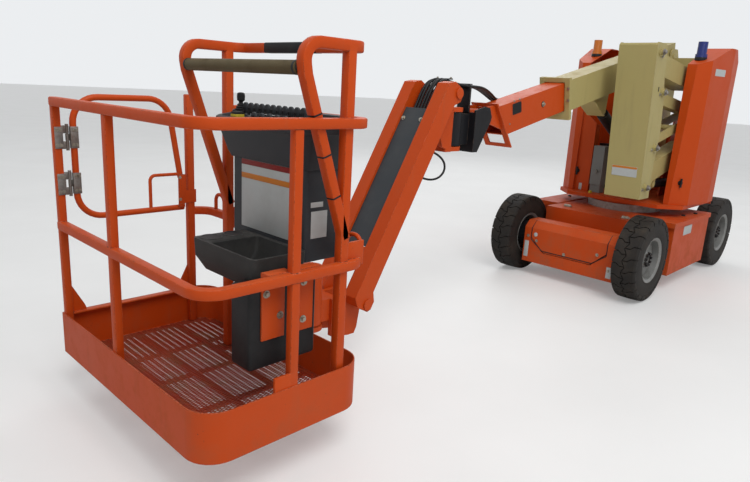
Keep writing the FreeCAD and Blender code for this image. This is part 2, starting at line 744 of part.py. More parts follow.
keep("mid_upright", fuse(upright_parts, "mid_upright"))

upper_at = tilted(upper_rear_x, upper_rear_z, -S.upper_arm_slope.value)
length = S.upper_arm_length
upper_parts = [
    side([(155, -90), (230, -S.upper_arm_drop), (1090, -S.upper_arm_drop), (length + 10, -48),
          (length + 40, -28), (length + 48, 0), (length + 34, 34), (length, S.upper_arm_top),
          (155, S.upper_arm_top)], *tower_y(-83, 83), "upper_arm_box"),
    rod_y(length, 0, 46, *tower_y(-95, 145))]
for sign in (1, -1):
    y0, y1 = tower_y(68, 83, sign)
    upper_parts.append(side([(-46, -22), (-22, -46), (60, -60), (156, -90), (156, S.upper_arm_top),
                             (-22, S.upper_arm_top), (-46, 22)], y0, y1, "fork_plate"))
keep("upper_arm", cut(fuse(upper_parts, "upper_arm_mass"),
                      [rod_y(0, 0, bore, *tower_y(-90, 90)), rod_y(length, 0, bore, *tower_y(-100, 150))],
                      "upper_arm"), upper_at)

keep("upper_link", cut(fuse([
    side([(-40, -25), (-25, -40), (60, -44), (length - 60, -44), (length + 25, -34), (length + 36, -20),
          (length + 36, 20), (length + 25, 34), (length - 60, 44), (60, 44), (-25, 40), (-40, 25)],
         *tower_y(-39, 39), "upper_link_box"),
    rod_y(length, 0, 34, *tower_y(-95, 145))], "upper_link_mass"),
    [rod_y(0, 0, bore, *tower_y(-90, 90)), rod_y(length, 0, bore, *tower_y(-100, 150))],
    "upper_link"), tilted(top_link_x, top_link_z, -S.upper_arm_slope.value))

boom_left_y = S.boom_y + S.column_half
boom_right_y = S.boom_y - S.column_half
top_parts = []
for sign in (1, -1):
    y0, y1 = tower_y(44, 54, sign)
    top_parts.append(side([(-548, 1345), (-525, 1325), (-480, 1325), (-452, 1365), (-318, 1625), (-314, 1665),
                           (-350, 1740), (-350, S.upright_top_z), (-490, S.upright_top_z), (-490, 1700),
                           (-548, 1400)], y0, y1, "head_plate"))
top_parts.append(rod_y(upper_rear_x, upper_rear_z, S.pin_radius, *tower_y(-92, 92)))
top_parts.append(rod_y(top_link_x, top_link_z, S.pin_radius, *tower_y(-54, 54)))
top_parts.append(box(-490, -350, boom_left_y + 5, S.tower_y + 54, 1735, S.upright_top_z, "cross_beam"))
top_parts.append(box(-548, -536, *tower_y(-54, 54), 1420, 1500, "head_web"))
column_side = [(-S.column_rear_x, S.column_low_z), (-S.column_front_x, S.column_low_z),
               (-S.column_front_x, S.column_top_z - 30), (-S.column_front_x - 30, S.column_top_z),
               (-S.column_rear_x + 80, S.column_top_z), (-S.column_rear_x, S.column_top_z - 120)]
top_parts.append(side(column_side, boom_left_y, boom_left_y + S.column_wall, "column_plate"))
top_parts.append(side(column_side, boom_right_y - S.column_wall, boom_right_y, "column_plate"))
top_parts.append(box(-S.column_rear_x, -S.column_rear_x + 12, boom_right_y - 1, boom_left_y + 1,
                     S.column_low_z, 1740, "column_web"))
top_parts.append(rod_y(S.boom_pivot_x, S.boom_pivot_z, 25, boom_right_y - 18, boom_left_y + 18))
for y0, y1 in ((boom_right_y - 1, S.boom_y - 31), (S.boom_y + 31, boom_left_y + 1)):
    top_parts.append(rod_y(S.boom_foot_x, S.boom_foot_z, 40, y0, y1))
top_parts.append(rod_y(S.boom_foot_x, S.boom_foot_z, S.pin_radius, boom_right_y - 18, boom_left_y + 18))
keep("top_upright", fuse(top_parts, "top_upright"))


# Cylinders: barrel with an eye at the foot, rod with an eye at the far end, in their own axes
def barrel(label, radius, rod_radius, reach, at, eye=34):
    tube = cut(rod_x(0, 0, radius, 58, reach),
               [rod_x(0, 0, radius * 0.8, 72, reach - 22), rod_x(0, 0, rod_radius + S.play, reach - 30, reach + 1)])
    ring = rod_y(0, 0, eye, -25, 25)
    neck = rod_x(0, 0, 24, 0, 60)
    keep(label, cut(fuse([tube, ring, neck]), [rod_y(0, 0, S.pin_radius + S.pin_play, -30, 30)], label), at)


def cylinder_rod(label, radius, start, reach, at, eye=34, half=25):
    whole = fuse([rod_x(0, 0, radius, start, reach - eye + 6), rod_y(reach, 0, eye, -half, half)])
    keep(label, cut(whole, [rod_y(reach, 0, S.pin_radius + 1, -half - 5, half + 5)], label), at)


def aimed(x0, z0, x1, z1, y):
    slope = -math.degrees(math.atan2(z1 - z0, x1 - x0))
    return tilted(x0, z0, slope, y), math.hypot(x1 - x0, z1 - z0)


eye_x, eye_z = along(lower_rear_x, lower_rear_z, S.lower_arm_slope, tower_eye_run, tower_eye_rise)
at, reach = aimed(tower_foot_x, tower_foot_z, eye_x, eye_z, S.tower_y)
barrel("tower_cylinder_barrel", 37.5, 22, reach - 70, at)
cylinder_rod("tower_cylinder_rod", 22, 90, reach, at)

eye_x, eye_z = along(S.boom_pivot_x, S.boom_pivot_z, S.boom_slope, S.boom_eye_x, -S.boom_eye_drop)
at, reach = aimed(S.boom_foot_x.value, S.boom_foot_z.value, eye_x, eye_z, S.boom_y)
barrel("boom_cylinder_barrel", 45, 26, reach - 90, at, 38)
cylinder_rod("boom_cylinder_rod", 26, 82, reach, at, 36)

# Main boom: square tube, telescoping section inside it, both in the boom's own axes
boom_at = tilted(S.boom_pivot_x, S.boom_pivot_z, S.boom_slope, S.boom_y)
half_h = S.base_height / 2
half_w = S.base_width / 2
mouth = S.base_length + 24
base_parts = [
    box(-S.base_tail, S.base_length, -half_w, half_w, -half_h, half_h, "base_tube"),
    box(S.base_length - 6, mouth, -half_w - 30, half_w + 30, -half_h - 51, half_h + 25, "collar")]
for sign in (1, -1):
    y0, y1 = sorted((sign * 31, sign * 43))
    base_parts.append(side([(1110, -half_h + 1), (1160, -256), (1178, -268), (1222, -268), (1238, -258),
                            (1426, -half_h + 1)], y0, y1, "gusset"))
base_parts.append(side([(1230, -262), (1236, -270), (1434, -half_h + 1), (1420, -half_h + 1)],
                       -70, 70, "gusset_front"))
base_shell = cut(fuse(base_parts, "boom_base_mass"),
                 [box(120, mouth + 5, -half_w + S.base_wall, half_w - S.base_wall,
                      -half_h + S.base_wall, half_h - S.base_wall),
                  rod_y(0, 0, 25 + S.pin_play, -half_w - 5, half_w + 5)])
fly_h = S.fly_height / 2
fly_w = S.fly_width / 2


def slide_pads(x0, x1, inner_h, inner_w, outer_h, outer_w):
    """Wear pads round a square tube, between two half heights and half widths."""
    return [box(x0, x1, -40, 40, inner_h, outer_h, "pad"), box(x0, x1, -40, 40, -outer_h, -inner_h, "pad"),
            box(x0, x1, inner_w, outer_w, -60, 60, "pad"), box(x0, x1, -outer_w, -inner_w, -60, 60, "pad")]


base_pads = slide_pads(mouth - 70, mouth - 4, fly_h + S.play, fly_w + S.play,
                       half_h - S.base_wall + 1, half_w - S.base_wall + 1)
keep("boom_base", fuse([base_shell] + base_pads, "boom_base"), boom_at)

nose_run = (S.nose_pin_x - S.boom_pivot_x) * math.cos(math.radians(S.boom_slope.value)) - \
    (S.nose_pin_z - S.boom_pivot_z) * math.sin(math.radians(S.boom_slope.value))
nose_rise = (S.nose_pin_x - S.boom_pivot_x) * math.sin(math.radians(S.boom_slope.value)) + \
    (S.nose_pin_z - S.boom_pivot_z) * math.cos(math.radians(S.boom_slope.value))
lean = (S.fly_mouth_top - S.fly_mouth_low) / (S.mouth_rim_top + S.mouth_rim_drop)


def mouth_x(rise):
    """Distance along the boom of the slanted mouth at a height above the boom's axis."""
    return S.fly_mouth_low + (S.mouth_rim_drop + rise) * lean


tube = cut(side([(S.fly_start, -fly_h), (mouth_x(-fly_h), -fly_h), (mouth_x(fly_h), fly_h), (S.fly_start, fly_h)],
                -fly_w, fly_w, "fly_outer"),
           [box(S.fly_start + 10, 3000, -fly_w + S.fly_wall, fly_w - S.fly_wall, -fly_h + S.fly_wall,
                fly_h - S.fly_wall)])
rim_plate = cut(side([(S.fly_mouth_low - 5, -S.mouth_rim_drop), (S.fly_mouth_low + 7, -S.mouth_rim_drop),
                      (S.fly_mouth_top + 7, S.mouth_rim_top), (S.fly_mouth_top - 5, S.mouth_rim_top)],
                     -fly_w - S.mouth_side, fly_w + S.mouth_side, "mouth_rim"),
                [side([(S.fly_mouth_low - 40, -S.mouth_rim_drop + 24), (S.fly_mouth_low + 60, -S.mouth_rim_drop + 24),
                       (S.fly_mouth_top + 60, S.mouth_rim_top - 24), (S.fly_mouth_top - 40, S.mouth_rim_top - 24)],
                      -fly_w + 14, fly_w - 14, "mouth_opening")])
fly_parts = [tube, rim_plate] + slide_pads(
    S.fly_start, S.fly_start + 70, fly_h - 1, fly_w - 1, half_h - S.base_wall - S.play, half_w - S.base_wall - S.play)
for sign in (1, -1):
    y0, y1 = sorted((sign * 58, sign * 72))
    fly_parts.append(side([(mouth_x(-60) - 2, -60), (nose_run - 10, nose_rise - 46), (nose_run + 34, nose_rise - 30),
                           (nose_run + 44, nose_rise), (nose_run + 30, nose_rise + 34), (nose_run, nose_rise + 44),
                           (mouth_x(110) - 2, 110)], y0, y1, "nose_ear"))
fly_parts.append(rod_y(nose_run, nose_rise, 32, -60, 60, "nose_tube"))
keep("boom_fly", cut(fuse(fly_parts, "boom_fly_mass"), [rod_y(nose_run, nose_rise, bore, -80, 80)],
                     "boom_fly"), boom_at)

tray_y = -half_w - 38
keep("hose_tray", fuse([box(1400, 2330, tray_y - 36, tray_y, 10, 60, "hose_tray_body"),
                        box(2300, 2324, tray_y - 1, -fly_w - S.play, 20, 50, "tray_stay")], "hose_tray"), boom_at)


# Nose bracket, swing block and jib
def boom_plane(half0, half1, sign=1):
    low, high = sorted((sign * float(half0), sign * float(half1)))
    return S.boom_y + low, S.boom_y + high


nose_parts = [rod_y(S.nose_pin_x, S.nose_pin_z, S.pin_radius, *boom_plane(-90, 90))]
for sign in (1, -1):
    nose_parts.append(side([(S.nose_pin_x - 45, S.nose_pin_z - 10), (S.nose_pin_x - 20, S.nose_pin_z + 42),
                            (S.nose_pin_x + 25, S.nose_pin_z + 48), (2450, 1352), (2450, 1112),
                            (2405, 1112), (S.nose_pin_x - 40, S.nose_pin_z - 35)],
                           *boom_plane(79, 91, sign), "nose_cheek"))
nose_parts.append(box(2438, 2450, *boom_plane(-80, 80), 1112, 1340, "nose_web"))
nose_parts.append(box(2449, 2530, *boom_plane(-46, 46), S.swing_low_z + 35, S.swing_top_z - 35, "swing_neck"))
nose_parts.append(cut(rod_z(S.swing_x, S.boom_y, S.swing_radius, S.swing_low_z + 30, S.swing_top_z - 30),
                      [rod_z(S.swing_x, S.boom_y, bore, S.swing_low_z, S.swing_top_z)]))
neck_bore = rod_z(S.swing_x, S.boom_y, bore, S.swing_low_z, S.swing_top_z)
keep("nose_bracket", cut(fuse(nose_parts, "nose_bracket_mass"), [neck_bore], "nose_bracket"))

link_x = S.jib_pin_x + S.jib_link_dx
link_z = S.jib_pin_z + S.jib_link_dz
ear_in = S.jib_ear_gap / 2
ear_out = ear_in + S.jib_ear
arm_in = S.jib_gap / 2
arm_out = arm_in + S.jib_tube_width
swing_parts = [rod_z(S.swing_x, S.boom_y, S.pin_radius, S.swing_low_z, S.swing_top_z)]
for z0, z1 in ((S.swing_low_z, S.swing_low_z + 25), (S.swing_top_z - 25, S.swing_top_z)):
    swing_parts.append(rod_z(S.swing_x, S.boom_y, S.swing_radius + 2, z0, z1))
    swing_parts.append(box(S.swing_x, 2686, *boom_plane(-62, 62), z0, z1, "swing_plate"))
swing_parts.append(box(2636, 2686, *boom_plane(-ear_out.value, ear_out.value), S.swing_low_z, S.swing_top_z,
                       "swing_block"))
for sign in (1, -1):
    swing_parts.append(side([(2640, S.swing_low_z), (2715, 1150), (link_x + 36, link_z - 15), (link_x + 36, link_z + 20),
                             (S.jib_pin_x + 40, S.jib_pin_z - 10), (S.jib_pin_x + 30, S.jib_pin_z + 32),
                             (S.jib_pin_x, S.jib_pin_z + 42), (S.jib_pin_x - 32, S.jib_pin_z + 30),
                             (2640, S.swing_top_z)], *boom_plane(ear_in.value, ear_out.value, sign), "jib_ear"))
    swing_parts.append(rod_y(S.jib_pin_x, S.jib_pin_z, S.pin_radius,
                             *boom_plane(ear_out.value - 1, arm_out.value + 8, sign)))
    swing_parts.append(rod_y(S.jib_pin_x, S.jib_pin_z, S.pin_radius + 8,
                             *boom_plane(arm_out.value + 1, arm_out.value + 9, sign)))
swing_parts.append(rod_y(link_x, link_z, S.pin_radius, S.boom_y - ear_out, S.boom_y - 14))
# the rod's eye swings back into this pocket when the jib is high
eye_pocket = box(2660, 2700, S.boom_y - 10, S.boom_y + 50, 1280, S.swing_top_z + 34, "eye_pocket")
keep("jib_rotator", cut(fuse(swing_parts, "jib_rotator_mass"), [eye_pocket], "jib_rotator"))

jib_at = tilted(S.jib_pin_x, S.jib_pin_z, S.jib_slope, S.boom_y)
length = S.jib_length
depth = S.jib_tube_depth
arm_parts = []
arm_bores = []
for sign in (1, -1):
    y0, y1 = sorted((sign * arm_in.value, sign * arm_out.value))
    arm_parts.append(side([(-34, -20), (-15, -38), (30, -38), (70, -5), (length - 70, -5), (length - 30, -38),
                           (length + 15, -38), (length + 34, -20), (length + 34, 60), (length, depth - 5),
                           (0, depth - 5), (-34, 60)], y0, y1, "jib_tube"))
    arm_bores.append(rod_y(0, 0, bore, y0 - 2, y1 + 2))
    arm_bores.append(rod_y(length, 0, bore, y0 - 2, y1 + 2))
arm_parts.append(rod_y(S.jib_cylinder_x, S.jib_cylinder_rise, S.pin_radius, -arm_in - 1, arm_in + 1, "cross_pin"))
arm_parts.append(box(960, 1010, -arm_in - 1, arm_in + 1, 0, depth - 10, "cross_gusset"))
keep("jib_arm", cut(fuse(arm_parts, "jib_arm_mass"), arm_bores, "jib_arm"), jib_at)
keep("jib_cover", side([(150, depth - 27), (955, depth - 27), (955, depth - 19), (150, depth - 19)],
                       -arm_in + S.play, arm_in - S.play, "jib_cover"), jib_at)

link_at = tilted(link_x, link_z, S.jib_slope, S.boom_y)
keep("jib_link", cut(side([(-26, -12), (-12, -26), (length + 12, -26), (length + 26, -12), (length + 26, 12),
                           (length + 12, 26), (-12, 26), (-26, 12)], -45, -15, "link_bar"),
                     [rod_y(0, 0, bore, -50, -10), rod_y(length, 0, bore, -50, -10)], "jib_link"), link_at)

cross_x, cross_z = along(S.jib_pin_x, S.jib_pin_z, S.jib_slope, S.jib_cylinder_x, S.jib_cylinder_rise)
at, reach = aimed(cross_x, cross_z, link_x.value, link_z.value, S.boom_y + 20)
barrel("jib_cylinder_barrel", 25, 15, reach - 60, at, 30)
cylinder_rod("jib_cylinder_rod", 15, 80, reach, at, 30)

foot_x, foot_z = along(S.jib_pin_x, S.jib_pin_z, S.jib_slope, length, 0)
foot_link_x = foot_x + S.jib_link_dx
foot_link_z = foot_z + S.jib_link_dz
foot_parts = []
for sign in (1, -1):
    foot_parts.append(side([(foot_x - 30, foot_z + 28), (foot_x - 38, foot_z - 5), (foot_link_x - 36, foot_link_z),
                            (foot_link_x - 20, foot_link_z - 32), (foot_link_x + 24, foot_link_z - 32),
                            (3490, foot_link_z - 10), (3490, 420), (foot_x + 30, foot_z + 38), (foot_x, foot_z + 40)],
                           *boom_plane(ear_in.value, ear_out.value, sign), "foot_ear"))
    foot_parts.append(rod_y(foot_x, foot_z, S.pin_radius, *boom_plane(ear_out.value - 1, arm_out.value + 8, sign)))
    foot_parts.append(rod_y(foot_x, foot_z, S.pin_radius + 8,
                            *boom_plane(arm_out.value + 1, arm_out.value + 9, sign)))
foot_parts.append(rod_y(foot_link_x, foot_link_z, S.pin_radius, S.boom_y - ear_out, S.boom_y - 14))
foot_parts.append(box(3440, 3560, *boom_plane(-55, 55), S.turn_low_z + 6, 420, "foot_neck"))
foot_parts.append(rod_z(S.turn_x, S.boom_y, S.turn_radius, S.turn_low_z, S.turn_top_z))
keep("jib_foot", cut(fuse(foot_parts, "jib_foot_mass"),
                     [rod_z(S.turn_x, S.boom_y, bore, S.turn_low_z - 5, S.turn_top_z + 5)], "jib_foot"))


# Platform: sheet tray with rounded corners, rails, hoops, console and gate
ARC = (0.0, 0.38268, 0.70711, 0.92388, 1.0)


def tray_points(inset):
    """Plan outline of the platform; the front right corner stays square."""
    x0, x1 = S.platform_rear_x + inset, S.platform_rear_x + S.platform_depth - inset
    half = S.platform_width / 2
    y0, y1 = S.boom_y + 5 - half + inset, S.boom_y + 5 + half - inset
    r = S.platform_corner - inset
    points = [(x1, y0)]
    for k in range(5):
        points.append((x1 - r + r * ARC[4 - k], y1 - r + r * ARC[k]))
    for k in range(5):
        points.append((x0 + r - r * ARC[k], y1 - r + r * ARC[4 - k]))
    for k in range(5):
        points.append((x0 + r - r * ARC[4 - k], y0 + r - r * ARC[k]))
    return points


half = S.platform_width / 2
rail_half = S.rail / 2
rail_rear = S.platform_rear_x + rail_half
rail_front = S.platform_rear_x + S.platform_depth - rail_half
rail_left = S.boom_y + 5 + half - rail_half
rail_right = S.boom_y + 5 - half + rail_half
tray = cut(plan(tray_points(0), S.floor_z, S.toe_top_z, "tray_outer"),
           [plan(tray_points(S.toe_wall), S.floor_z + 8, S.toe_top_z + 5, "tray_inner")])
turn_plates = []
for z0, z1 in ((S.turn_low_z - 30, S.turn_low_z - 5), (S.turn_top_z + 5, S.turn_top_z + 30)):
    turn_plates.append(rod_z(S.turn_x, S.boom_y, S.turn_radius + 5, z0, z1))
    turn_plates.append(box(S.turn_x, S.platform_rear_x + 1, *boom_plane(-75, 75), z0, z1, "turn_plate"))
turn_plates.append(box(3668, S.platform_rear_x + 1, *boom_plane(-75, 75), S.turn_low_z - 30, S.turn_top_z + 30,
                       "turn_block"))
turn_plates.append(rod_z(S.turn_x, S.boom_y, S.pin_radius, S.turn_low_z - 30, S.turn_top_z + 30))
keep("platform_floor", fuse([tray] + turn_plates, "platform_floor"))


def bent_tube(points, bend, radius, name, square=False):
    """Tube of one section along a path with rounded corners."""
    spots = [Vector(*[float(v) for v in p]) for p in points]
    edges = []
    start = spots[0]
    for i in range(1, len(spots) - 1):
        corner = spots[i]
        room = (start - corner).Length - 1
        back = (spots[i - 1] - corner).normalize()
        ahead = (spots[i + 1] - corner).normalize()
        half_angle = back.getAngle(ahead) / 2
        cutoff = min(float(bend) / math.tan(half_angle), room)
        turn = cutoff * math.tan(half_angle)
        one = corner + back * cutoff
        two = corner + ahead * cutoff
        middle_dir = (back + ahead).normalize()
        centre = corner + middle_dir * (turn / math.sin(half_angle))
        middle = centre - middle_dir * turn
        edges.append(Part.makeLine(start, one))
        edges.append(Part.Arc(one, middle, two).toShape())
        start = two
    edges.append(Part.makeLine(start, spots[-1]))
    wire = Part.Wire(edges)
    along_path = (spots[1] - spots[0]).normalize()
    if square:
        up = Vector(0, 0, 1) if abs(along_path.z) < 0.9 else Vector(1, 0, 0)
        across = along_path.cross(up).normalize()
        up = across.cross(along_path).normalize()
        r = float(radius)
        ring = [spots[0] + across * (a * r) + up * (b * r) for a, b in ((1, 1), (-1, 1), (-1, -1), (1, -1))]
        section = Part.makePolygon(ring + [ring[0]])
    else:
        section = Part.Wire(Part.makeCircle(float(radius), spots[0], along_path))
    return raw(wire.makePipeShell([section], True, False), name)


def rail_path(z):
    return [(S.rear_post_x, rail_right, z), (rail_rear, rail_right, z), (rail_rear, rail_left, z),
            (rail_front, rail_left, z), (rail_front, rail_right, z)]


bend = S.platform_corner - rail_half
rails = []
for z in (S.mid_rail_z + rail_half, S.top_rail_z + rail_half):
    rails.append(bent_tube(rail_path(z.value), bend - 10, rail_half, "loop_rail"))
post_low = S.floor_z + 8 + S.play
corner_post_x = S.rear_post_x
side_post_x = S.side_post_x
front_post_y = S.front_post_y
for x, y in ((rail_front, front_post_y), (side_post_x, rail_left), (rail_front, rail_right),
             (corner_post_x, rail_right)):
    shift_x = -S.toe_wall if x is rail_front else dim(0)
    shift_y = dim(0)
    if y is rail_left:
        shift_y = -S.toe_wall
    if y is rail_right:
        shift_y = S.toe_wall + (3 if x is corner_post_x else 0)
    grow = rail_half - S.toe_wall - S.play
    rails.append(box(x + shift_x - grow, x + shift_x + grow, y + shift_y - grow, y + shift_y + grow,
                     post_low, S.top_rail_z + rail_half, "rail_post"))
rails.append(box(4127, 4229, rail_left + 2, rail_left + rail_half - S.toe_wall - S.play, post_low, 435, "post_gusset"))
for x0, x1 in ((4139, 4239), (4008, 4100)):
    rails.append(box(x0, x1, 500.3, rail_left - 4, 556, S.mid_rail_z + rail_half, "box_bracket"))
for z in (1167, 962):
    rails.append(rod_z(S.hinge_x, rail_right, 8, z - 60, z + 60, "hinge_pin"))
    rails.append(box(S.hinge_x - 4, rail_front - 10, rail_right - 4, rail_right + 4, z + 34, z + 60, "hinge_leaf"))
    rails.append(box(S.hinge_x - 4, rail_front - 10, rail_right - 4, rail_right + 4, z - 60, z - 34, "hinge_leaf"))
hoop_half = 20
hoop_left = rail_left - 36
hoop_right = rail_right + 39
for y in (hoop_left, hoop_right):
    rails.append(bent_tube([(S.hoop_rear_x, y, post_low), (S.hoop_rear_x, y, S.hoop_top_z),
                            (S.hoop_front_x + 18, y, S.hoop_top_z), (S.hoop_front_x, y, 1440),
                            (S.hoop_rear_x + 25, y, 845)], 60, hoop_half, "hoop"))
rails.append(rod_y(S.hoop_rear_x, S.hoop_top_z - 2, hoop_half - 1, hoop_right, hoop_left, "hoop_bar"))
keep("platform_rails", fuse(rails, "platform_rails"))
sensor_x, sensor_z = 4112, 1500
keep("sensor_bar", fuse([
    rod_y(sensor_x, sensor_z, S.bar_radius, hoop_right + hoop_half + 8, hoop_left - hoop_half - 8),
    rod_y(sensor_x, sensor_z, 14, hoop_right + hoop_half + S.play, hoop_left - hoop_half - S.play)], "sensor_bar"))

console_rear = rail_rear + rail_half + S.play
keep("control_console", fuse([
    side([(console_rear + 20, 735), (3955, 735), (4000, 800), (4000, 1175), (console_rear, 1175), (console_rear, 780)],
         -80, 430, "console_body"),
    side([(console_rear + 8, 1170), (4050, 1170), (4050, 1330), (console_rear + 8, 1370)], -170, 500, "console_top"),
    rod_z(3950, -123, 14, 1340, 1400, "joystick")], "control_console"))
keep("tool_tray", cut(box(4000 + S.play, 4240, 60, 460, 756, 830),
                      [box(4012, 4230, 70, 450, 766, 840)], "tool_tray"))
keep("platform_box", side([(3985, 445), (4285, 445), (4285, 755), (3985, 755)], 380, 500, "platform_box"))

gate_r = S.gate_tube / 2
gate_front = S.hinge_x - 24
gate_rear = S.rear_post_x + rail_half + S.gate_gap + gate_r
gate_middle = (S.gate_low_z + S.gate_top_z) / 2
gate_parts = []
for z in (S.gate_top_z - gate_r, S.gate_low_z + gate_r):
    gate_parts.append(bent_tube([(gate_front, rail_right, gate_middle), (gate_front, rail_right, z),
                                 (gate_rear, rail_right, z), (gate_rear, rail_right, gate_middle)],
                                70, gate_r, "gate_frame"))
for z in (1167, 962):
    knuckle_ring = cut(rod_z(S.hinge_x, rail_right, 13, z - 33, z + 33),
                       [rod_z(S.hinge_x, rail_right, 8 + S.pin_play, z - 40, z + 40)])
    gate_parts.append(fuse([knuckle_ring, box(gate_front - 2, S.hinge_x - 10, rail_right - 4, rail_right + 4,
                                              z - 30, z + 30)]))
gate_parts.append(rod_x(rail_right, 1075, gate_r - 2, gate_rear, gate_front, "gate_bar"))
keep("gate", fuse(gate_parts, "gate"))

doc.recompute()
for obj in doc.Objects:
    if "Invalid" in obj.State or "Error" in obj.State:
        raise RuntimeError("could not rebuild " + obj.Name)
os.makedirs("parts", exist_ok=True)
for label in sorted(HOLD):
    shape = HOLD[label].Shape
    if shape.isNull() or not shape.isValid():
        raise RuntimeError("bad shape in " + label)
    shape.exportStep("parts/%s.step" % label)
print("exported", len(HOLD), "sub-parts")
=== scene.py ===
"""Articulating boom lift, dressed for the studio.

The solids come from the frame. This script gives them their finishes, and adds tyres' tread, bent rails,
the floor's mesh, the console's switches, hoses and fasteners."""
import math

import bmesh
import bpy
from mathutils import Matrix, Vector


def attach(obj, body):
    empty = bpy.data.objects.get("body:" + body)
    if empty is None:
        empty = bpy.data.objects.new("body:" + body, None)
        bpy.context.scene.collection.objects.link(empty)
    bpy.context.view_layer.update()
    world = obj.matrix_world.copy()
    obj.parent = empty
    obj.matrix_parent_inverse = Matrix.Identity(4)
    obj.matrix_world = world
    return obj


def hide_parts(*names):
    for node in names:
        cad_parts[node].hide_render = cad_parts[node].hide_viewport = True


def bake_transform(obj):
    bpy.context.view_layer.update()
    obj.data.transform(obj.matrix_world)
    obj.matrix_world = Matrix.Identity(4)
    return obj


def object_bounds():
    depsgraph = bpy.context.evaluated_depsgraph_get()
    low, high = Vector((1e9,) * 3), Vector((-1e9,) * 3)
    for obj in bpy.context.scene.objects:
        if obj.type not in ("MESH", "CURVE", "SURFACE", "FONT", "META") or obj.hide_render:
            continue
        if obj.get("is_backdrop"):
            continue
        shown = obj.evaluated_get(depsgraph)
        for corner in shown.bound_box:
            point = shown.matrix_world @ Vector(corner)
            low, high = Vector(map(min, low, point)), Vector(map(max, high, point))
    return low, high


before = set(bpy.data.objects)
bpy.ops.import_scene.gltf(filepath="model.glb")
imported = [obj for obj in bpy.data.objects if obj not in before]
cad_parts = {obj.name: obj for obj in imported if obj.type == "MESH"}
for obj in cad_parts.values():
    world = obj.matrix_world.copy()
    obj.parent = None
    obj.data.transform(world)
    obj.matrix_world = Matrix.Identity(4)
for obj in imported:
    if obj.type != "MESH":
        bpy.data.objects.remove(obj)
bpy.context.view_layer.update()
scene = bpy.context.scene

# Camera. It stands at shoulder height off the platform's front left corner, and is tipped a little
# down and to one side, as a hand-held camera is.
CAMERA_PLACE = (3.728, 2.175, 1.450)
CAMERA_RIGHT = (-0.7031, 0.7090, 0.0546)
CAMERA_UP = (-0.1358, -0.2092, 0.9684)
CAMERA_BACK = (0.6980, 0.6735, 0.2434)

camera_data = bpy.data.cameras.new("camera")
camera_data.sensor_width = 36.0
camera_data.lens = 29.35
camera_data.clip_start = 0.05
camera_data.clip_end = 200.0
camera = bpy.data.objects.new("camera", camera_data)
scene.collection.objects.link(camera)
turn = Matrix((CAMERA_RIGHT, CAMERA_UP, CAMERA_BACK)).transposed()
camera.matrix_world = Matrix.Translation(CAMERA_PLACE) @ turn.to_quaternion().to_matrix().to_4x4()
scene.camera = camera

# Studio. A pale floor that runs out to a pale sky, with one broad lamp high up on the camera's side
# and a weaker one behind, so that the faces part softly.
scene.view_settings.view_transform = "Standard"


def node(tree, kind, inputs=None, **settings):
    """A node with its settings made and its inputs filled, by values or by other nodes' outputs."""
    made = tree.nodes.new(kind)
    for key, value in settings.items():
        setattr(made, key, value)
    for key, value in (inputs or {}).items():
        if isinstance(value, bpy.types.NodeSocket):
            tree.links.new(value, made.inputs[key])
        else:
            made.inputs[key].default_value = value
    return made


def math_node(tree, operation, first, second=0.0, third=0.0):
    """One step of arithmetic between values or outputs."""
    return node(tree, "ShaderNodeMath", {0: first, 1: second, 2: third}, operation=operation).outputs[0]


def mixed(tree, share, low, high, blend="MIX"):
    """A colour between two others by a share from 0 to 1."""
    made = node(tree, "ShaderNodeMix", data_type="RGBA", blend_type=blend)
    for socket, value in ((made.inputs[0], share), (made.inputs[6], low), (made.inputs[7], high)):
        if isinstance(value, bpy.types.NodeSocket):
            tree.links.new(value, socket)
        else:
            socket.default_value = value
    return made.outputs[2]


def ranged(tree, value, low, high, to_low=0.0, to_high=1.0, kind="SMOOTHSTEP"):
    """A value's share between two bounds, eased at both ends."""
    made = node(tree, "ShaderNodeMapRange", {0: value, 1: low, 2: high, 3: to_low, 4: to_high})
    made.interpolation_type = kind
    return made.outputs[0]


world = bpy.data.worlds.new("studio")
scene.world = world
world.use_nodes = True
sky = world.node_tree
sky.nodes.clear()
path = node(sky, "ShaderNodeLightPath")
seen = math_node(sky, "MAXIMUM", path.outputs["Is Camera Ray"], path.outputs["Is Glossy Ray"])
seen = math_node(sky, "MAXIMUM", seen, path.outputs["Is Transmission Ray"])
strength = ranged(sky, seen, 0.0, 1.0, 0.42, 0.90, "LINEAR")
backdrop = node(sky, "ShaderNodeBackground", {"Color": (0.93, 0.95, 0.97, 1.0), "Strength": strength})
node(sky, "ShaderNodeOutputWorld", {"Surface": backdrop.outputs[0]})


def lamp(name, place, aim, size, watts):
    """A square soft lamp that looks at a point."""
    data = bpy.data.lights.new(name, "AREA")
    data.size = size
    data.energy = watts
    made = bpy.data.objects.new(name, data)
    made.location = place
    made.rotation_mode = "QUATERNION"
    made.rotation_quaternion = (Vector(aim) - Vector(place)).to_track_quat("-Z", "Y")
    scene.collection.objects.link(made)


lamp("lamp_high", (3.0, 4.5, 7.5), (0.0, 0.0, 0.6), 5.0, 400.0)
lamp("lamp_back", (-6.0, -5.0, 6.0), (0.0, 0.0, 0.8), 5.0, 130.0)

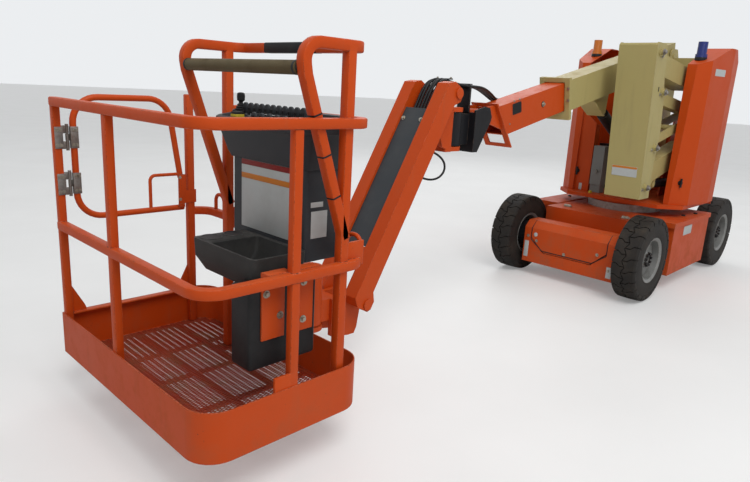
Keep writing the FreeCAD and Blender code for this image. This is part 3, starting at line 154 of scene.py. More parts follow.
floor_sheet = bpy.data.meshes.new("studio_floor")
FAR = 60.0
floor_sheet.from_pydata([(-FAR, -FAR, 0), (FAR, -FAR, 0), (FAR, FAR, 0), (-FAR, FAR, 0)], [], [(0, 1, 2, 3)])
floor = bpy.data.objects.new("studio_floor", floor_sheet)
floor.location.z = -0.0005
scene.collection.objects.link(floor)
floor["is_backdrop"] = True
concrete = bpy.data.materials.new("pale_floor")
concrete.use_nodes = True
tree = concrete.node_tree
shader = tree.nodes["Principled BSDF"]
place = node(tree, "ShaderNodeTexCoord").outputs["Object"]
grain = node(tree, "ShaderNodeTexNoise", {"Vector": place, "Scale": 1.4, "Detail": 8.0}).outputs[0]
tree.links.new(mixed(tree, grain, (0.70, 0.70, 0.69, 1), (0.80, 0.80, 0.79, 1)), shader.inputs["Base Color"])
shader.inputs["Roughness"].default_value = 0.55
in_view = node(tree, "ShaderNodeLightPath").outputs["Is Camera Ray"]
tree.links.new(mixed(tree, in_view, (0, 0, 0, 1), (0.20, 0.20, 0.20, 1)), shader.inputs["Emission Color"])
shader.inputs["Emission Strength"].default_value = 1.0
floor_sheet.materials.append(concrete)

# Chassis. A welded box with battery boxes at its sides, sprayed orange. The paint fades unevenly, chips
# along its edges and holds dust. Its end cover is sealed with rubber and bolted on, and its lids have
# steel hinges.


def group_sockets(tree, ins, outs):
    """Names a node group's inputs, with their starting values, and its outputs, and adds their nodes."""
    for name, kind, *start in ins:
        socket = tree.interface.new_socket(name, in_out="INPUT", socket_type="NodeSocket" + kind)
        if start:
            socket.default_value = start[0]
    for name, kind in outs:
        tree.interface.new_socket(name, in_out="OUTPUT", socket_type="NodeSocket" + kind)
    return tree.nodes.new("NodeGroupInput"), tree.nodes.new("NodeGroupOutput")


def put_out(tree, out, **values):
    """Links what a finish works out to the group's outputs."""
    for name, value in values.items():
        tree.links.new(value, out.inputs[name])


def soft_noise(tree, where, scale, detail=3.0, rough=0.55):
    """Cloudy noise over the object, about 0.5 on the whole."""
    return node(tree, "ShaderNodeTexNoise",
                {"Vector": where, "Scale": scale, "Detail": detail, "Roughness": rough}).outputs[0]


def rounded_edges(tree, given):
    """The normal softened at the edges, the true one, and a mask of the edges."""
    soft = node(tree, "ShaderNodeBevel", {"Radius": given.outputs["Edge"]}, samples=4).outputs[0]
    true = node(tree, "ShaderNodeNewGeometry").outputs["Normal"]
    facing = node(tree, "ShaderNodeVectorMath", {0: soft, 1: true}, operation="DOT_PRODUCT").outputs["Value"]
    return soft, true, ranged(tree, facing, 0.998, 0.85)


FINISH_OUTPUTS = [("Colour", "Color"), ("Roughness", "Float"), ("Height", "Float")]
worn_paint = bpy.data.node_groups.new("worn_paint", "ShaderNodeTree")
tree = worn_paint
given, out = group_sockets(
    tree,
    [("Paint", "Color"), ("Bare", "Color", (0.085, 0.045, 0.03, 1)), ("Dust", "Color", (0.26, 0.13, 0.07, 1)),
     ("Edge", "Float", 0.003), ("Chips", "Float", 0.4), ("Grime", "Float", 0.3), ("Fade", "Float", 0.3),
     ("Gloss", "Float", 0.50)],
    FINISH_OUTPUTS + [("Normal", "Vector")])
where = node(tree, "ShaderNodeTexCoord").outputs["Object"]
soft_edge, flat, edge = rounded_edges(tree, given)
flecks = soft_noise(tree, where, 120.0, 3.0, 0.6)
patches = soft_noise(tree, where, 5.5, 2.0)
chip_line = math_node(tree, "MULTIPLY", given.outputs["Chips"], patches)
chip_line = math_node(tree, "MULTIPLY_ADD", chip_line, -0.50, 0.84)
chip_reach = math_node(tree, "MULTIPLY_ADD", edge, 0.24, flecks)
chip_top = math_node(tree, "ADD", chip_line, 0.03)
chips = ranged(tree, chip_reach, chip_line, chip_top)
fade_cloud = soft_noise(tree, where, 2.6, 4.0)
faded = ranged(tree, fade_cloud, 0.35, 0.70)
up = node(tree, "ShaderNodeSeparateXYZ", {0: flat}).outputs[2]
topside = ranged(tree, up, 0.35, 1.0, 0.35, 1.25)
faded = math_node(tree, "MULTIPLY", faded, topside)
faded = math_node(tree, "MULTIPLY", faded, given.outputs["Fade"])
chalky = mixed(tree, 0.35, given.outputs["Paint"], (0.74, 0.24, 0.09, 1))
colour = mixed(tree, faded, given.outputs["Paint"], chalky)
rubbed = math_node(tree, "MULTIPLY", edge, ranged(tree, soft_noise(tree, where, 20.0, 4.0), 0.40, 0.62))
rubbed = math_node(tree, "MULTIPLY", rubbed, 0.55)
colour = mixed(tree, rubbed, colour, mixed(tree, 0.5, given.outputs["Paint"], (0.80, 0.50, 0.34, 1)))
stretched = node(tree, "ShaderNodeMapping", {"Vector": where, "Scale": (16.0, 16.0, 1.1)}).outputs[0]
streaks = soft_noise(tree, stretched, 1.0, 4.0, 0.6)
streaks = ranged(tree, streaks, 0.52, 0.78)
height_over = node(tree, "ShaderNodeSeparateXYZ", {0: where}).outputs[2]
low_splash = ranged(tree, height_over, 0.60, 0.05)
dull = soft_noise(tree, where, 9.0, 6.0, 0.7)
dull = ranged(tree, dull, 0.42, 0.72)
settled = ranged(tree, up, 0.55, 1.0, 0.0, 0.55)
grime = math_node(tree, "MULTIPLY_ADD", low_splash, dull, math_node(tree, "MULTIPLY", streaks, 0.5))
grime = math_node(tree, "MULTIPLY_ADD", settled, dull, grime)
grime = math_node(tree, "MULTIPLY", grime, given.outputs["Grime"])
grime = math_node(tree, "MINIMUM", grime, 0.80)
colour = mixed(tree, grime, colour, given.outputs["Dust"])
colour = mixed(tree, chips, colour, given.outputs["Bare"])
rough = math_node(tree, "MULTIPLY_ADD", grime, 0.40, given.outputs["Gloss"])
rough = math_node(tree, "MULTIPLY_ADD", chips, 0.25, rough)
rough = math_node(tree, "MULTIPLY_ADD", math_node(tree, "SUBTRACT", dull, 0.5), 0.10, rough)
orange_peel = soft_noise(tree, where, 260.0, 1.0)
height = math_node(tree, "MULTIPLY_ADD", chips, -0.8, math_node(tree, "MULTIPLY", orange_peel, 0.10))
put_out(tree, out, Colour=colour, Roughness=rough, Height=height, Normal=soft_edge)


def surface(name, slot, group, paint, metallic=0.0, bump=0.0004, coat=0.0, **values):
    """A material whose colour, roughness and relief come from a shared finish group."""
    made = bpy.data.materials.new(name)
    made.use_nodes = True
    made.diffuse_color = (*paint, 1.0)
    nodes = made.node_tree
    finish = node(nodes, "ShaderNodeGroup", node_tree=group)
    for key, value in {"Paint": (*paint, 1.0), **values}.items():
        finish.inputs[key].default_value = value
    relief = {"Height": finish.outputs["Height"], "Distance": bump, "Strength": 1.0}
    if "Normal" in finish.outputs:
        relief["Normal"] = finish.outputs["Normal"]
    relief = node(nodes, "ShaderNodeBump", relief)
    shader = nodes.nodes["Principled BSDF"].inputs
    nodes.links.new(finish.outputs["Colour"], shader["Base Color"])
    nodes.links.new(finish.outputs["Roughness"], shader["Roughness"])
    nodes.links.new(relief.outputs[0], shader["Normal"])
    for key, value in (("Metallic", metallic), ("Specular IOR Level", 0.22), ("Coat Weight", coat)):
        shader[key].default_value = value
    return made


def dress(material, *names):
    """Gives carried-over nodes their finish."""
    for name in names:
        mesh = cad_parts[name].data
        if not mesh.materials:
            mesh.materials.append(material)
        for index in range(len(mesh.materials)):
            mesh.materials[index] = material


SLEW_X = -1.689


def metres(x, y, z):
    """A place in millimetres from the slew axis on the ground, in the row frame's metres."""
    return Vector((x / 1000 + SLEW_X, y / 1000, z / 1000))


def rounded(shape, faces, edge, steps):
    """Rounds the edges of some faces."""
    if edge:
        edges = list({e for f in faces for e in f.edges})
        bmesh.ops.bevel(shape, geom=edges, offset=edge / 1000, segments=steps, profile=0.5, affect="EDGES")


def block(shape, x0, x1, y0, y1, z0, z1, edge=0.0, steps=2):
    """A box between two corners, in millimetres, with its edges rounded."""
    corners = [shape.verts.new(metres(x, y, z)) for x in (x0, x1) for y in (y0, y1) for z in (z0, z1)]
    sides = [(0, 1, 3, 2), (4, 6, 7, 5), (0, 4, 5, 1), (2, 3, 7, 6), (0, 2, 6, 4), (1, 5, 7, 3)]
    rounded(shape, [shape.faces.new([corners[i] for i in side]) for side in sides], edge, steps)


def prism(shape, outline, axis, low, high, edge=0.0, steps=1):
    """An outline drawn across an axis, drawn out between two places on it, in millimetres."""
    def spot(one, two, far):
        return metres(*{"x": (far, one, two), "y": (one, far, two), "z": (one, two, far)}[axis])
    first = [shape.verts.new(spot(one, two, low)) for one, two in outline]
    last = [shape.verts.new(spot(one, two, high)) for one, two in outline]
    faces = [shape.faces.new(first), shape.faces.new(last[::-1])]
    for i in range(len(outline)):
        j = (i + 1) % len(outline)
        faces.append(shape.faces.new((first[j], first[i], last[i], last[j])))
    rounded(shape, faces, edge, steps)


def skin(shape, low, high):
    """Joins two rings of as many points with a band of faces."""
    for i in range(len(low)):
        j = (i + 1) % len(low)
        shape.faces.new((low[i], high[i], high[j], low[j]))


def turned(shape, middle, axis, profile, steps=28):
    """A profile of (distance along the axis, radius) points turned about the axis, in millimetres."""
    ahead = Vector({"x": (1, 0, 0), "y": (0, 1, 0), "z": (0, 0, 1)}.get(axis, axis)).normalized()
    side_way = ahead.orthogonal().normalized()
    over = ahead.cross(side_way)
    start = metres(*middle)
    rings = []
    for far, radius in profile:
        at = start + ahead * far / 1000
        if radius < 0.01:
            rings.append([shape.verts.new(at)])
            continue
        rings.append([shape.verts.new(at + (side_way * math.cos(2 * math.pi * i / steps)
                                            + over * math.sin(2 * math.pi * i / steps)) * radius / 1000)
                      for i in range(steps)])
    for low, high in zip(rings, rings[1:]):
        if len(low) == len(high):
            skin(shape, low, high)
            continue
        for i in range(steps):
            j = (i + 1) % steps
            if len(low) == 1:
                shape.faces.new((low[0], high[i], high[j]))
            else:
                shape.faces.new((low[i], high[0], low[j]))
    for ring in (rings[0], rings[-1]):
        if len(ring) > 1:
            shape.faces.new(ring)


def rounded_path(points, bend, steps=7):
    """Points in millimetres as a path in metres whose corners are turned on a bend."""
    spots = [metres(*p) for p in points]
    made = [spots[0]]
    for before, corner, after in zip(spots, spots[1:], spots[2:]):
        back = (before - corner).normalized()
        ahead = (after - corner).normalized()
        half = back.angle(ahead) / 2
        shorter = min((before - corner).length, (after - corner).length)
        cut_back = min(bend / 1000 / math.tan(half), shorter * 0.98)
        radius = cut_back * math.tan(half)
        centre = corner + (back + ahead).normalized() * (radius / math.sin(half))
        one = corner + back * cut_back - centre
        two = corner + ahead * cut_back - centre
        for i in range(steps + 1):
            made.append(centre + one.normalized().slerp(two.normalized(), i / steps) * radius)
    made.append(spots[-1])
    return made


def bar(shape, path, half, corner=7.0, up=(0, 0, 1)):
    """A tube along a path: square with rounded corners, or round where the corner is the half width."""
    section = []
    flat = half - corner
    quarter = 4 if corner == half else 2
    for k, (sx, sy) in enumerate(((1, 1), (-1, 1), (-1, -1), (1, -1))):
        for i in range(quarter + 1):
            if corner == half and i == quarter:
                continue
            a = math.pi / 2 * (k + i / quarter)
            section.append((Vector((sx, sy)) * flat + Vector((math.cos(a), math.sin(a))) * corner) / 1000)
    ways = [(b - a).normalized() for a, b in zip(path, path[1:])]
    up = Vector(up)
    if abs(ways[0].dot(up)) > 0.9:
        up = Vector((1, 0, 0)) if abs(ways[0].x) < 0.9 else Vector((0, 1, 0))
    across = ways[0].cross(up).normalized()
    rings = []
    for i, at in enumerate(path):
        before = ways[max(i - 1, 0)]
        after = ways[min(i, len(ways) - 1)]
        across = before.rotation_difference(after) @ across if i else across
        middle = (before + after).normalized()
        lean = 1 / max(middle.dot(before), 0.5)
        over = across.cross(after).normalized()
        fold = before.cross(after)
        wide = fold.cross(middle).normalized() if fold.length > 1e-5 else None
        ring = []
        for a, b in section:
            offset = across * a + over * b
            offset = offset - middle * offset.dot(middle)
            if wide is not None:
                offset = offset + wide * offset.dot(wide) * (lean - 1)
            ring.append(shape.verts.new(at + offset))
        rings.append(ring)
    for low, high in zip(rings, rings[1:]):
        skin(shape, low, high)
    shape.faces.new(rings[0])
    shape.faces.new(rings[-1][::-1])


def piece(name, shape, material, body, replaces=(), smooth=38.0):
    """A finished piece at the origin: its normals outwards, smooth but for its sharp edges, on its body."""
    bmesh.ops.recalc_face_normals(shape, faces=shape.faces)
    for f in shape.faces:
        f.smooth = True
    for e in shape.edges:
        e.smooth = len(e.link_faces) == 2 and e.calc_face_angle(0.0) < math.radians(smooth)
    mesh = bpy.data.meshes.new(name)
    shape.to_mesh(mesh)
    shape.free()
    return shown(name, mesh, material, body, replaces)


def shown(name, mesh, material, body, replaces=()):
    """Puts a mesh in the scene as a piece on a body, or with its place baked into the mesh when given no
    body's name.
    """
    mesh.materials.clear()
    mesh.materials.append(material)
    made = bpy.data.objects.new(name, mesh)
    scene.collection.objects.link(made)
    if isinstance(body, str):
        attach(made, body)
    else:
        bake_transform(made)
    if replaces:
        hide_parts(*replaces)
    return made


ORANGE = (0.570, 0.064, 0.004)
clean_orange = surface("orange_covers", "orange_paint", worn_paint, ORANGE, Chips=0.22, Grime=0.20, Fade=0.15)
chassis_orange = surface("orange_chassis", "orange_paint", worn_paint, ORANGE, Chips=0.42, Grime=0.40,
                         Fade=0.35)
dress(chassis_orange, "chassis_frame", "end_cover", "battery_boxes", "battery_lids")

bare_metal = bpy.data.node_groups.new("bare_metal", "ShaderNodeTree")
tree = bare_metal
given, out = group_sockets(tree, [("Paint", "Color"), ("Rust", "Float", 0.2), ("Shine", "Float", 0.3)],
                           FINISH_OUTPUTS)
where = node(tree, "ShaderNodeTexCoord").outputs["Object"]
stain = soft_noise(tree, where, 14.0, 6.0, 0.65)
stain = math_node(tree, "MULTIPLY", ranged(tree, stain, 0.42, 0.70), given.outputs["Rust"])
brushed = node(tree, "ShaderNodeMapping", {"Vector": where, "Scale": (30.0, 400.0, 400.0)}).outputs[0]
lines = soft_noise(tree, brushed, 1.0, 2.0)
colour = mixed(tree, stain, given.outputs["Paint"], (0.13, 0.055, 0.02, 1))
rough = math_node(tree, "MULTIPLY_ADD", stain, 0.5, given.outputs["Shine"])
rough = math_node(tree, "MULTIPLY_ADD", lines, 0.10, rough)
put_out(tree, out, Colour=colour, Roughness=rough, Height=lines)
bare_steel = surface("bare_steel", "bare_steel", bare_metal, (0.30, 0.28, 0.26), Rust=0.45, Shine=0.36,
                     metallic=0.85, bump=0.0001)
zinc = surface("zinc_bolts", "bare_steel", bare_metal, (0.40, 0.37, 0.31), Rust=0.35, Shine=0.32,
               metallic=0.9, bump=0.0001)
dress(bare_steel, "slew_bearing")

bolt_tree = bpy.data.node_groups.new("bolt_heads", "GeometryNodeTree")
tree = bolt_tree
given, out = group_sockets(tree, [("Places", "Geometry"), ("Head Height", "Float"), ("Finish", "Material")],
                           [("Bolts", "Geometry")])
facing = node(tree, "GeometryNodeInputNamedAttribute", {"Name": "facing"}, data_type="FLOAT_VECTOR")
across = node(tree, "GeometryNodeInputNamedAttribute", {"Name": "across"}, data_type="FLOAT")
stand = node(tree, "FunctionNodeAlignRotationToVector", {"Vector": facing.outputs[0]}, axis="Z")
tall = given.outputs["Head Height"]
head = node(tree, "GeometryNodeMeshCylinder", {"Vertices": 6, "Radius": 0.577, "Depth": tall}).outputs[0]
head_at = node(tree, "ShaderNodeCombineXYZ", {2: math_node(tree, "MULTIPLY_ADD", tall, 0.5, 0.12)}).outputs[0]
head = node(tree, "GeometryNodeTransform", {"Geometry": head, "Translation": head_at}).outputs[0]
washer = node(tree, "GeometryNodeMeshCylinder", {"Vertices": 20, "Radius": 0.95, "Depth": 0.16}).outputs[0]
washer = node(tree, "GeometryNodeTransform", {"Geometry": washer, "Translation": (0.0, 0.0, 0.06)}).outputs[0]
joined = node(tree, "GeometryNodeJoinGeometry")
for part in (head, washer):
    tree.links.new(part, joined.inputs[0])
placed = node(tree, "GeometryNodeInstanceOnPoints",
              {"Points": given.outputs["Places"], "Instance": joined.outputs[0],
               "Rotation": stand.outputs[0], "Scale": across.outputs[0]})


def plain_end(tree, given, out, placed, place=None):
    """Ends a tree: what it placed becomes a plain mesh, is moved to its place, and gets its finish."""
    shape = node(tree, "GeometryNodeRealizeInstances", {"Geometry": placed.outputs[0]}).outputs[0]
    if place is not None:
        shape = node(tree, "GeometryNodeTransform", {"Geometry": shape, "Translation": place}).outputs[0]
    shape = node(tree, "GeometryNodeSetMaterial", {"Geometry": shape, "Material": given.outputs["Finish"]})
    tree.links.new(shape.outputs[0], out.inputs[0])


plain_end(tree, given, out, placed)


def grown(name, start, tree, values, material, body, replaces=()):
    """Runs a node tree on a start mesh and keeps what it makes as a plain piece on a body."""
    seed = bpy.data.objects.new(name + "_start", start)
    scene.collection.objects.link(seed)
    growth = seed.modifiers.new("growth", "NODES")
    growth.node_group = tree
    for item in tree.interface.items_tree:
        if item.item_type == "SOCKET" and item.in_out == "INPUT" and item.name in values:
            growth[item.identifier] = values[item.name]
    ready = seed.evaluated_get(bpy.context.evaluated_depsgraph_get())
    mesh = bpy.data.meshes.new_from_object(ready)
    mesh.name = name
    seed.modifiers.remove(growth)
    bpy.data.objects.remove(seed)
    return shown(name, mesh, material, body, replaces)


def bolts(name, body, places, material=None, head=0.62):
    """Hexagon bolt heads on washers: (x, y, z, way they face, width across the flats), in millimetres."""
    start = bpy.data.meshes.new(name + "_places")
    start.from_pydata([metres(*p[:3]) for p in places], [], [])
    start.attributes.new("facing", "FLOAT_VECTOR", "POINT")
    start.attributes.new("across", "FLOAT", "POINT")
    ways = {"+x": (1, 0, 0), "+y": (0, 1, 0), "-y": (0, -1, 0), "+z": (0, 0, 1)}
    for i, (*_, way, wide) in enumerate(places):
        start.attributes["facing"].data[i].vector = ways.get(way, way)
        start.attributes["across"].data[i].value = wide / 1000
    finish = material or zinc
    return grown(name, start, bolt_tree, {"Head Height": head, "Finish": finish}, finish, body)


moulded = bpy.data.node_groups.new("moulded", "ShaderNodeTree")
tree = moulded
given, out = group_sockets(
    tree,
    [("Paint", "Color"), ("Dust", "Color", (0.16, 0.15, 0.14, 1)), ("Grime", "Float", 0.25),
     ("Pebble", "Float", 900.0), ("Gloss", "Float", 0.45), ("Scuffs", "Float", 0.3),
     ("Edge", "Float", 0.002)],
    FINISH_OUTPUTS + [("Normal", "Vector")])
where = node(tree, "ShaderNodeTexCoord").outputs["Object"]
soft_edge, flat, edge = rounded_edges(tree, given)
cloud = ranged(tree, soft_noise(tree, where, 7.0, 6.0, 0.65), 0.40, 0.75)
scuffed = ranged(tree, soft_noise(tree, where, 60.0, 4.0, 0.7), 0.50, 0.62)
scuffed = math_node(tree, "MULTIPLY", math_node(tree, "MULTIPLY", scuffed, edge), given.outputs["Scuffs"])
up = ranged(tree, node(tree, "ShaderNodeSeparateXYZ", {0: flat}).outputs[2], 0.4, 1.0, 0.35, 1.0)
grime = math_node(tree, "MULTIPLY", math_node(tree, "MULTIPLY", cloud, up), given.outputs["Grime"])
colour = mixed(tree, grime, given.outputs["Paint"], given.outputs["Dust"])
colour = mixed(tree, scuffed, colour, (0.22, 0.22, 0.21, 1))
pebble = node(tree, "ShaderNodeTexVoronoi", {"Vector": where, "Scale": given.outputs["Pebble"]})
pebble = pebble.outputs["Distance"]
rough = math_node(tree, "MULTIPLY_ADD", grime, 0.4, given.outputs["Gloss"])
rough = math_node(tree, "MULTIPLY_ADD", pebble, 0.08, rough)
put_out(tree, out, Colour=colour, Roughness=rough, Height=pebble, Normal=soft_edge)
# Black rubber. The same finish also colours plates painted in as shade: the fly's window, the tower's slot
# and the cup holders.
black_rubber_and_shade = surface("black_rubber_and_shade", "black_plastic", moulded, (0.010, 0.010, 0.011), Grime=0.35, Gloss=0.5,
                       bump=0.0001)
pale_plate = surface("pale_plates", None, moulded, (0.52, 0.55, 0.54), Dust=(0.30, 0.28, 0.25, 1), Grime=0.6,
                     Gloss=0.38, Scuffs=0.5, bump=0.00005)

COVER_FACE = 970.5
seam = bmesh.new()
bar(seam, rounded_path([(906, -322.5, 455.5), (COVER_FACE, -322.5, 400), (COVER_FACE, -322.5, 305),
                        (COVER_FACE, -215, 224), (COVER_FACE, 215, 224), (COVER_FACE, 322.5, 305),
                        (COVER_FACE, 322.5, 400), (906, 322.5, 455.5)], 12, 3), 3.5, 3.5)
piece("cover_seal", seam, black_rubber_and_shade, "chassis")
bolts("cover_bolts", "chassis",
      [(970, y, z, "+x", 13) for y, z in ((-272, 300), (-20, 240), (250, 300), (352, 196), (-352, 330))])
signs = bmesh.new()
block(signs, 969.5, 971.4, -378, -340, 152, 286, 0.5)
block(signs, 969.5, 971.4, 338, 378, 138, 226, 0.5)
turned(signs, (969.5, -285, 350), "x", [(0, 17), (1.6, 17), (2.0, 16)], 24)
block(signs, 25, 211, 600.3, 601.6, 424, 498, 0.5)
piece("chassis_plates", signs, pale_plate, "chassis")

deck_plugs = bmesh.new()
for x, y in ((6, 515), (6, -515), (-200, 545), (-200, -545)):
    turned(deck_plugs, (x, y, 550), "z", [(0, 17), (7, 16), (10, 12), (11, 0)], 20)
piece("lid_plugs", deck_plugs, black_rubber_and_shade, "chassis")
hinges = bmesh.new()
for x, y in ((583, 269), (529, -259)):
    block(hinges, x - 17, x + 17, y - 31, y + 31, 544.5, 554, 2)
    turned(hinges, (x, y - 29, 557), "y", [(0, 8), (58, 8)], 20)
piece("deck_hinges", hinges, zinc, "chassis")

# Wheels. Solid rubber tyres with deep block treads on pressed steel rims, bolted to black hubs. The
# rear pair steers, joined by a plain steel tie rod.
silver_steel = surface("silver_rims", "silver_paint", worn_paint, (0.27, 0.27, 0.26), Chips=0.35, Grime=0.60,
                       Fade=0.0, Dust=(0.10, 0.09, 0.08, 1), metallic=0.35)
rubber = surface("tyre_rubber", "tyre_rubber", moulded, (0.022, 0.019, 0.017), Dust=(0.085, 0.068, 0.052, 1),
                 Grime=0.85, Gloss=0.62, Pebble=300.0, Scuffs=0.15, bump=0.0003)
black_steel = surface("black_steel", "black_paint", worn_paint, (0.010, 0.010, 0.012), Chips=0.30, Grime=0.20,
                      Fade=0.0, Bare=(0.12, 0.11, 0.10, 1), Dust=(0.08, 0.075, 0.07, 1))
dress(silver_steel, "rim_front_left", "rim_front_right", "rim_rear_left", "rim_rear_right")
dress(chassis_orange, "rear_axle", "knuckle_left", "knuckle_right")
dress(bare_steel, "tie_rod")
dress(black_steel, "drive_motors")

ring_tree = bpy.data.node_groups.new("round_the_axle", "GeometryNodeTree")
tree = ring_tree
given, out = group_sockets(
    tree, [("Block", "Geometry"), ("Count", "Int"), ("Axle", "Vector"), ("Finish", "Material")],
    [("Ring", "Geometry")])
spots = node(tree, "GeometryNodePoints", {"Count": given.outputs["Count"]}).outputs[0]
one_turn = math_node(tree, "DIVIDE", 2 * math.pi, given.outputs["Count"])
angle = math_node(tree, "MULTIPLY", tree.nodes.new("GeometryNodeInputIndex").outputs[0], one_turn)
spin = node(tree, "ShaderNodeCombineXYZ", {1: angle}).outputs[0]
packed = node(tree, "GeometryNodeGeometryToInstance")
tree.links.new(given.outputs["Block"], packed.inputs[0])
placed = node(tree, "GeometryNodeInstanceOnPoints",
              {"Points": spots, "Instance": packed.outputs[0], "Rotation": spin})
plain_end(tree, given, out, placed, given.outputs["Axle"])

TYRE_RADIUS = 317.5
TREAD_PITCHES = 22
TREAD_RADIUS = 313
TREAD_PITCH = 2 * math.pi * TREAD_RADIUS / TREAD_PITCHES
SIX_SIDES = ((0, 1, 2, 3), (4, 7, 6, 5), (0, 4, 5, 1), (1, 5, 6, 2), (2, 6, 7, 3), (3, 7, 4, 0))


def round_the_axle(run, across, radius):
    """A place on the tread in metres: a run along it, a place across it and a radius, in millimetres."""
    a = run / TREAD_RADIUS
    return math.sin(a) * radius / 1000, across / 1000, math.cos(a) * radius / 1000


def tread_pitch(sign):
    """One pitch of the tread: a block on each side of the zigzag groove, round the axle at the origin."""
    made = bmesh.new()
    for hand in (1, -1):
        lead = 0.0 if hand > 0 else TREAD_PITCH / 2
        outline = [(86, 0), (52, 0), (26, 20), (-8, 20), (15.5, 65), (-5, TREAD_PITCH + 13),
                   (26, TREAD_PITCH + 13), (52, TREAD_PITCH - 7), (86, TREAD_PITCH - 7)]
        top = bmesh.new()
        top.faces.new([top.verts.new((u, v * hand * sign, 0)) for v, u in outline])
        for u in (20, 42, 65, 82):
            bmesh.ops.bisect_plane(top, geom=top.verts[:] + top.edges[:] + top.faces[:], plane_co=(u, 0, 0),
                                   plane_no=(1, 0, 0))
        for v in (52, 78):
            bmesh.ops.bisect_plane(top, geom=top.verts[:] + top.edges[:] + top.faces[:],
                                   plane_co=(0, v * hand * sign, 0), plane_no=(0, 1, 0))
        raised = bmesh.ops.extrude_face_region(top, geom=top.faces[:])
        for v in raised["geom"]:
            if isinstance(v, bmesh.types.BMVert):
                v.co.z = 1.0
        links = {}
        for v in top.verts:
            u, across, level = v.co
            crown = TYRE_RADIUS - 0.15 - 2.5 * (abs(across) / 86) ** 2
            crown -= 7.5 * max(0.0, (abs(across) - 76) / 10) ** 2
            radius = crown if level > 0.5 else 303.0
            links[v] = made.verts.new(round_the_axle(u + lead, across, radius))
        for f in top.faces:
            made.faces.new([links[v] for v in f.verts])
        side_block = []
        for u in (4, TREAD_PITCH - 11):
            for across, radius in ((80, 308), (88.6, 299), (88.6, 276), (80, 276)):
                side_block.append(made.verts.new(round_the_axle(u + lead, across * hand * sign, radius)))
        for quad in SIX_SIDES:
            made.faces.new([side_block[i] for i in quad])
        top.free()
    bmesh.ops.recalc_face_normals(made, faces=made.faces)
    mesh = bpy.data.meshes.new("tread_pitch")
    made.to_mesh(mesh)
    made.free()
    return mesh


SIDEWALL = [(60, 306), (79, 301), (85, 282), (88, 258), (88.5, 225), (86.5, 190), (82, 170), (74, 160),
            (60, 158)]
CARCASS = [(-far, radius) for far, radius in SIDEWALL[::-1]] + SIDEWALL
AXLE_X, WHEEL_Y = 825, 521
NUTS, NUT_RING = 9, 44
for end, x in (("front", AXLE_X), ("rear", -AXLE_X)):
    for hand, sign in (("left", 1), ("right", -1)):
        name = end + "_" + hand
        grown("tread_" + name, tread_pitch(sign), ring_tree,
              {"Count": TREAD_PITCHES, "Axle": metres(x, sign * WHEEL_Y, TYRE_RADIUS), "Finish": rubber},
              rubber, "wheel_" + name, ["tyre_" + name])
        carcass = bmesh.new()
        turned(carcass, (x, sign * WHEEL_Y, TYRE_RADIUS), "y", CARCASS, 72)
        ends = [f for f in carcass.faces if len(f.verts) > 4]
        bmesh.ops.delete(carcass, geom=ends, context="FACES_ONLY")
        bmesh.ops.bridge_loops(carcass, edges=[e for e in carcass.edges if e.is_boundary])
        piece("carcass_" + name, carcass, rubber, "wheel_" + name)
        nuts = []
        for i in range(NUTS):
            a = 2 * math.pi * i / NUTS
            nuts.append((x + NUT_RING * math.sin(a), sign * 574, TYRE_RADIUS + NUT_RING * math.cos(a),
                         "+y" if sign > 0 else "-y", 17))
        bolts("nuts_" + name, "wheel_" + name, nuts, black_steel, 0.8)

# Turntable and hoods. The turntable and its two moulded hoods are orange like the chassis, round a
# black pump unit and a grey control box. Each hood has a turned catch, and a beacon with a ribbed lens
# in a black collar.
grey_steel = surface("grey_steel", "grey_paint", worn_paint, (0.22, 0.23, 0.22), Chips=0.30, Grime=0.30,
                     Fade=0.0)
dress(clean_orange, "hood_left", "hood_right", "counterweight")
dress(chassis_orange, "turntable_frame")
dress(black_steel, "hydraulic_unit")
dress(grey_steel, "ground_controls")
lens = bpy.data.node_groups.new("ribbed_lens", "ShaderNodeTree")
tree = lens
given, out = group_sockets(tree, [("Paint", "Color")], FINISH_OUTPUTS)
where = node(tree, "ShaderNodeTexCoord").outputs["Object"]
rib = node(tree, "ShaderNodeTexWave", {"Vector": where, "Scale": 60.0}, bands_direction="Z").outputs["Fac"]
deep = mixed(tree, rib, given.outputs["Paint"], (0.0, 0.0, 0.0, 1))
colour = mixed(tree, 0.25, given.outputs["Paint"], deep)
put_out(tree, out, Colour=colour, Roughness=math_node(tree, "MULTIPLY_ADD", rib, 0.12, 0.08), Height=rib)
blue_lens = surface("blue_lens", "blue_lens", lens, (0.004, 0.02, 0.22), bump=0.0006, coat=0.6)
amber_lens = surface("amber_lens", "amber_lens", lens, (0.75, 0.20, 0.004), bump=0.0006, coat=0.6)
dress(blue_lens, "beacon_blue")
dress(amber_lens, "beacon_amber")


def plates(name, material, body, *boxes):
    """Flat plates as one piece: each has two corners and an edge's radius, in millimetres."""
    shape = bmesh.new()
    for box in boxes:
        block(shape, *box)
    piece(name, shape, material, body)


black_plastic = surface("black_plastic", "black_plastic", moulded, (0.012, 0.012, 0.013), Gloss=0.40,
                        bump=0.0001)
for name, x, y, z in (("left", 55, 450, 1793.5), ("right", -20, -450, 1823)):
    collars = bmesh.new()
    turned(collars, (x, y, z), "z", [(0, 44.6), (20, 44.6), (29, 42), (31, 37), (31, 20)], 40)
    catch = bmesh.new()
    away, seat = ((0.692, 0.722, 0), (152, 491, 834)) if name == "left" else ((1, 0, 0), (173, -387, 822))
    turned(catch, seat, away, [(-2, 19), (5, 19), (8, 16), (8, 7), (15, 7), (15, 0)], 24)
    out_way = Vector(away)
    grip = [metres(*(Vector(seat) + out_way * 15 + Vector((0, 0, dz)))) for dz in (-36, 36)]
    bar(catch, grip, 7, 3, up=out_way)
    piece("hood_latch_" + name, catch, black_plastic, "hood_" + name)
    piece("beacon_collar_" + name, collars, black_plastic, "hood_" + name)
sign = bmesh.new()
prism(sign, [(18, 563.6), (-149, 586.4), (-148.8, 588.6), (18.2, 565.8)], "z", 1682, 1735, 0.4)
piece("left_hood_plate", sign, pale_plate, "hood_left")
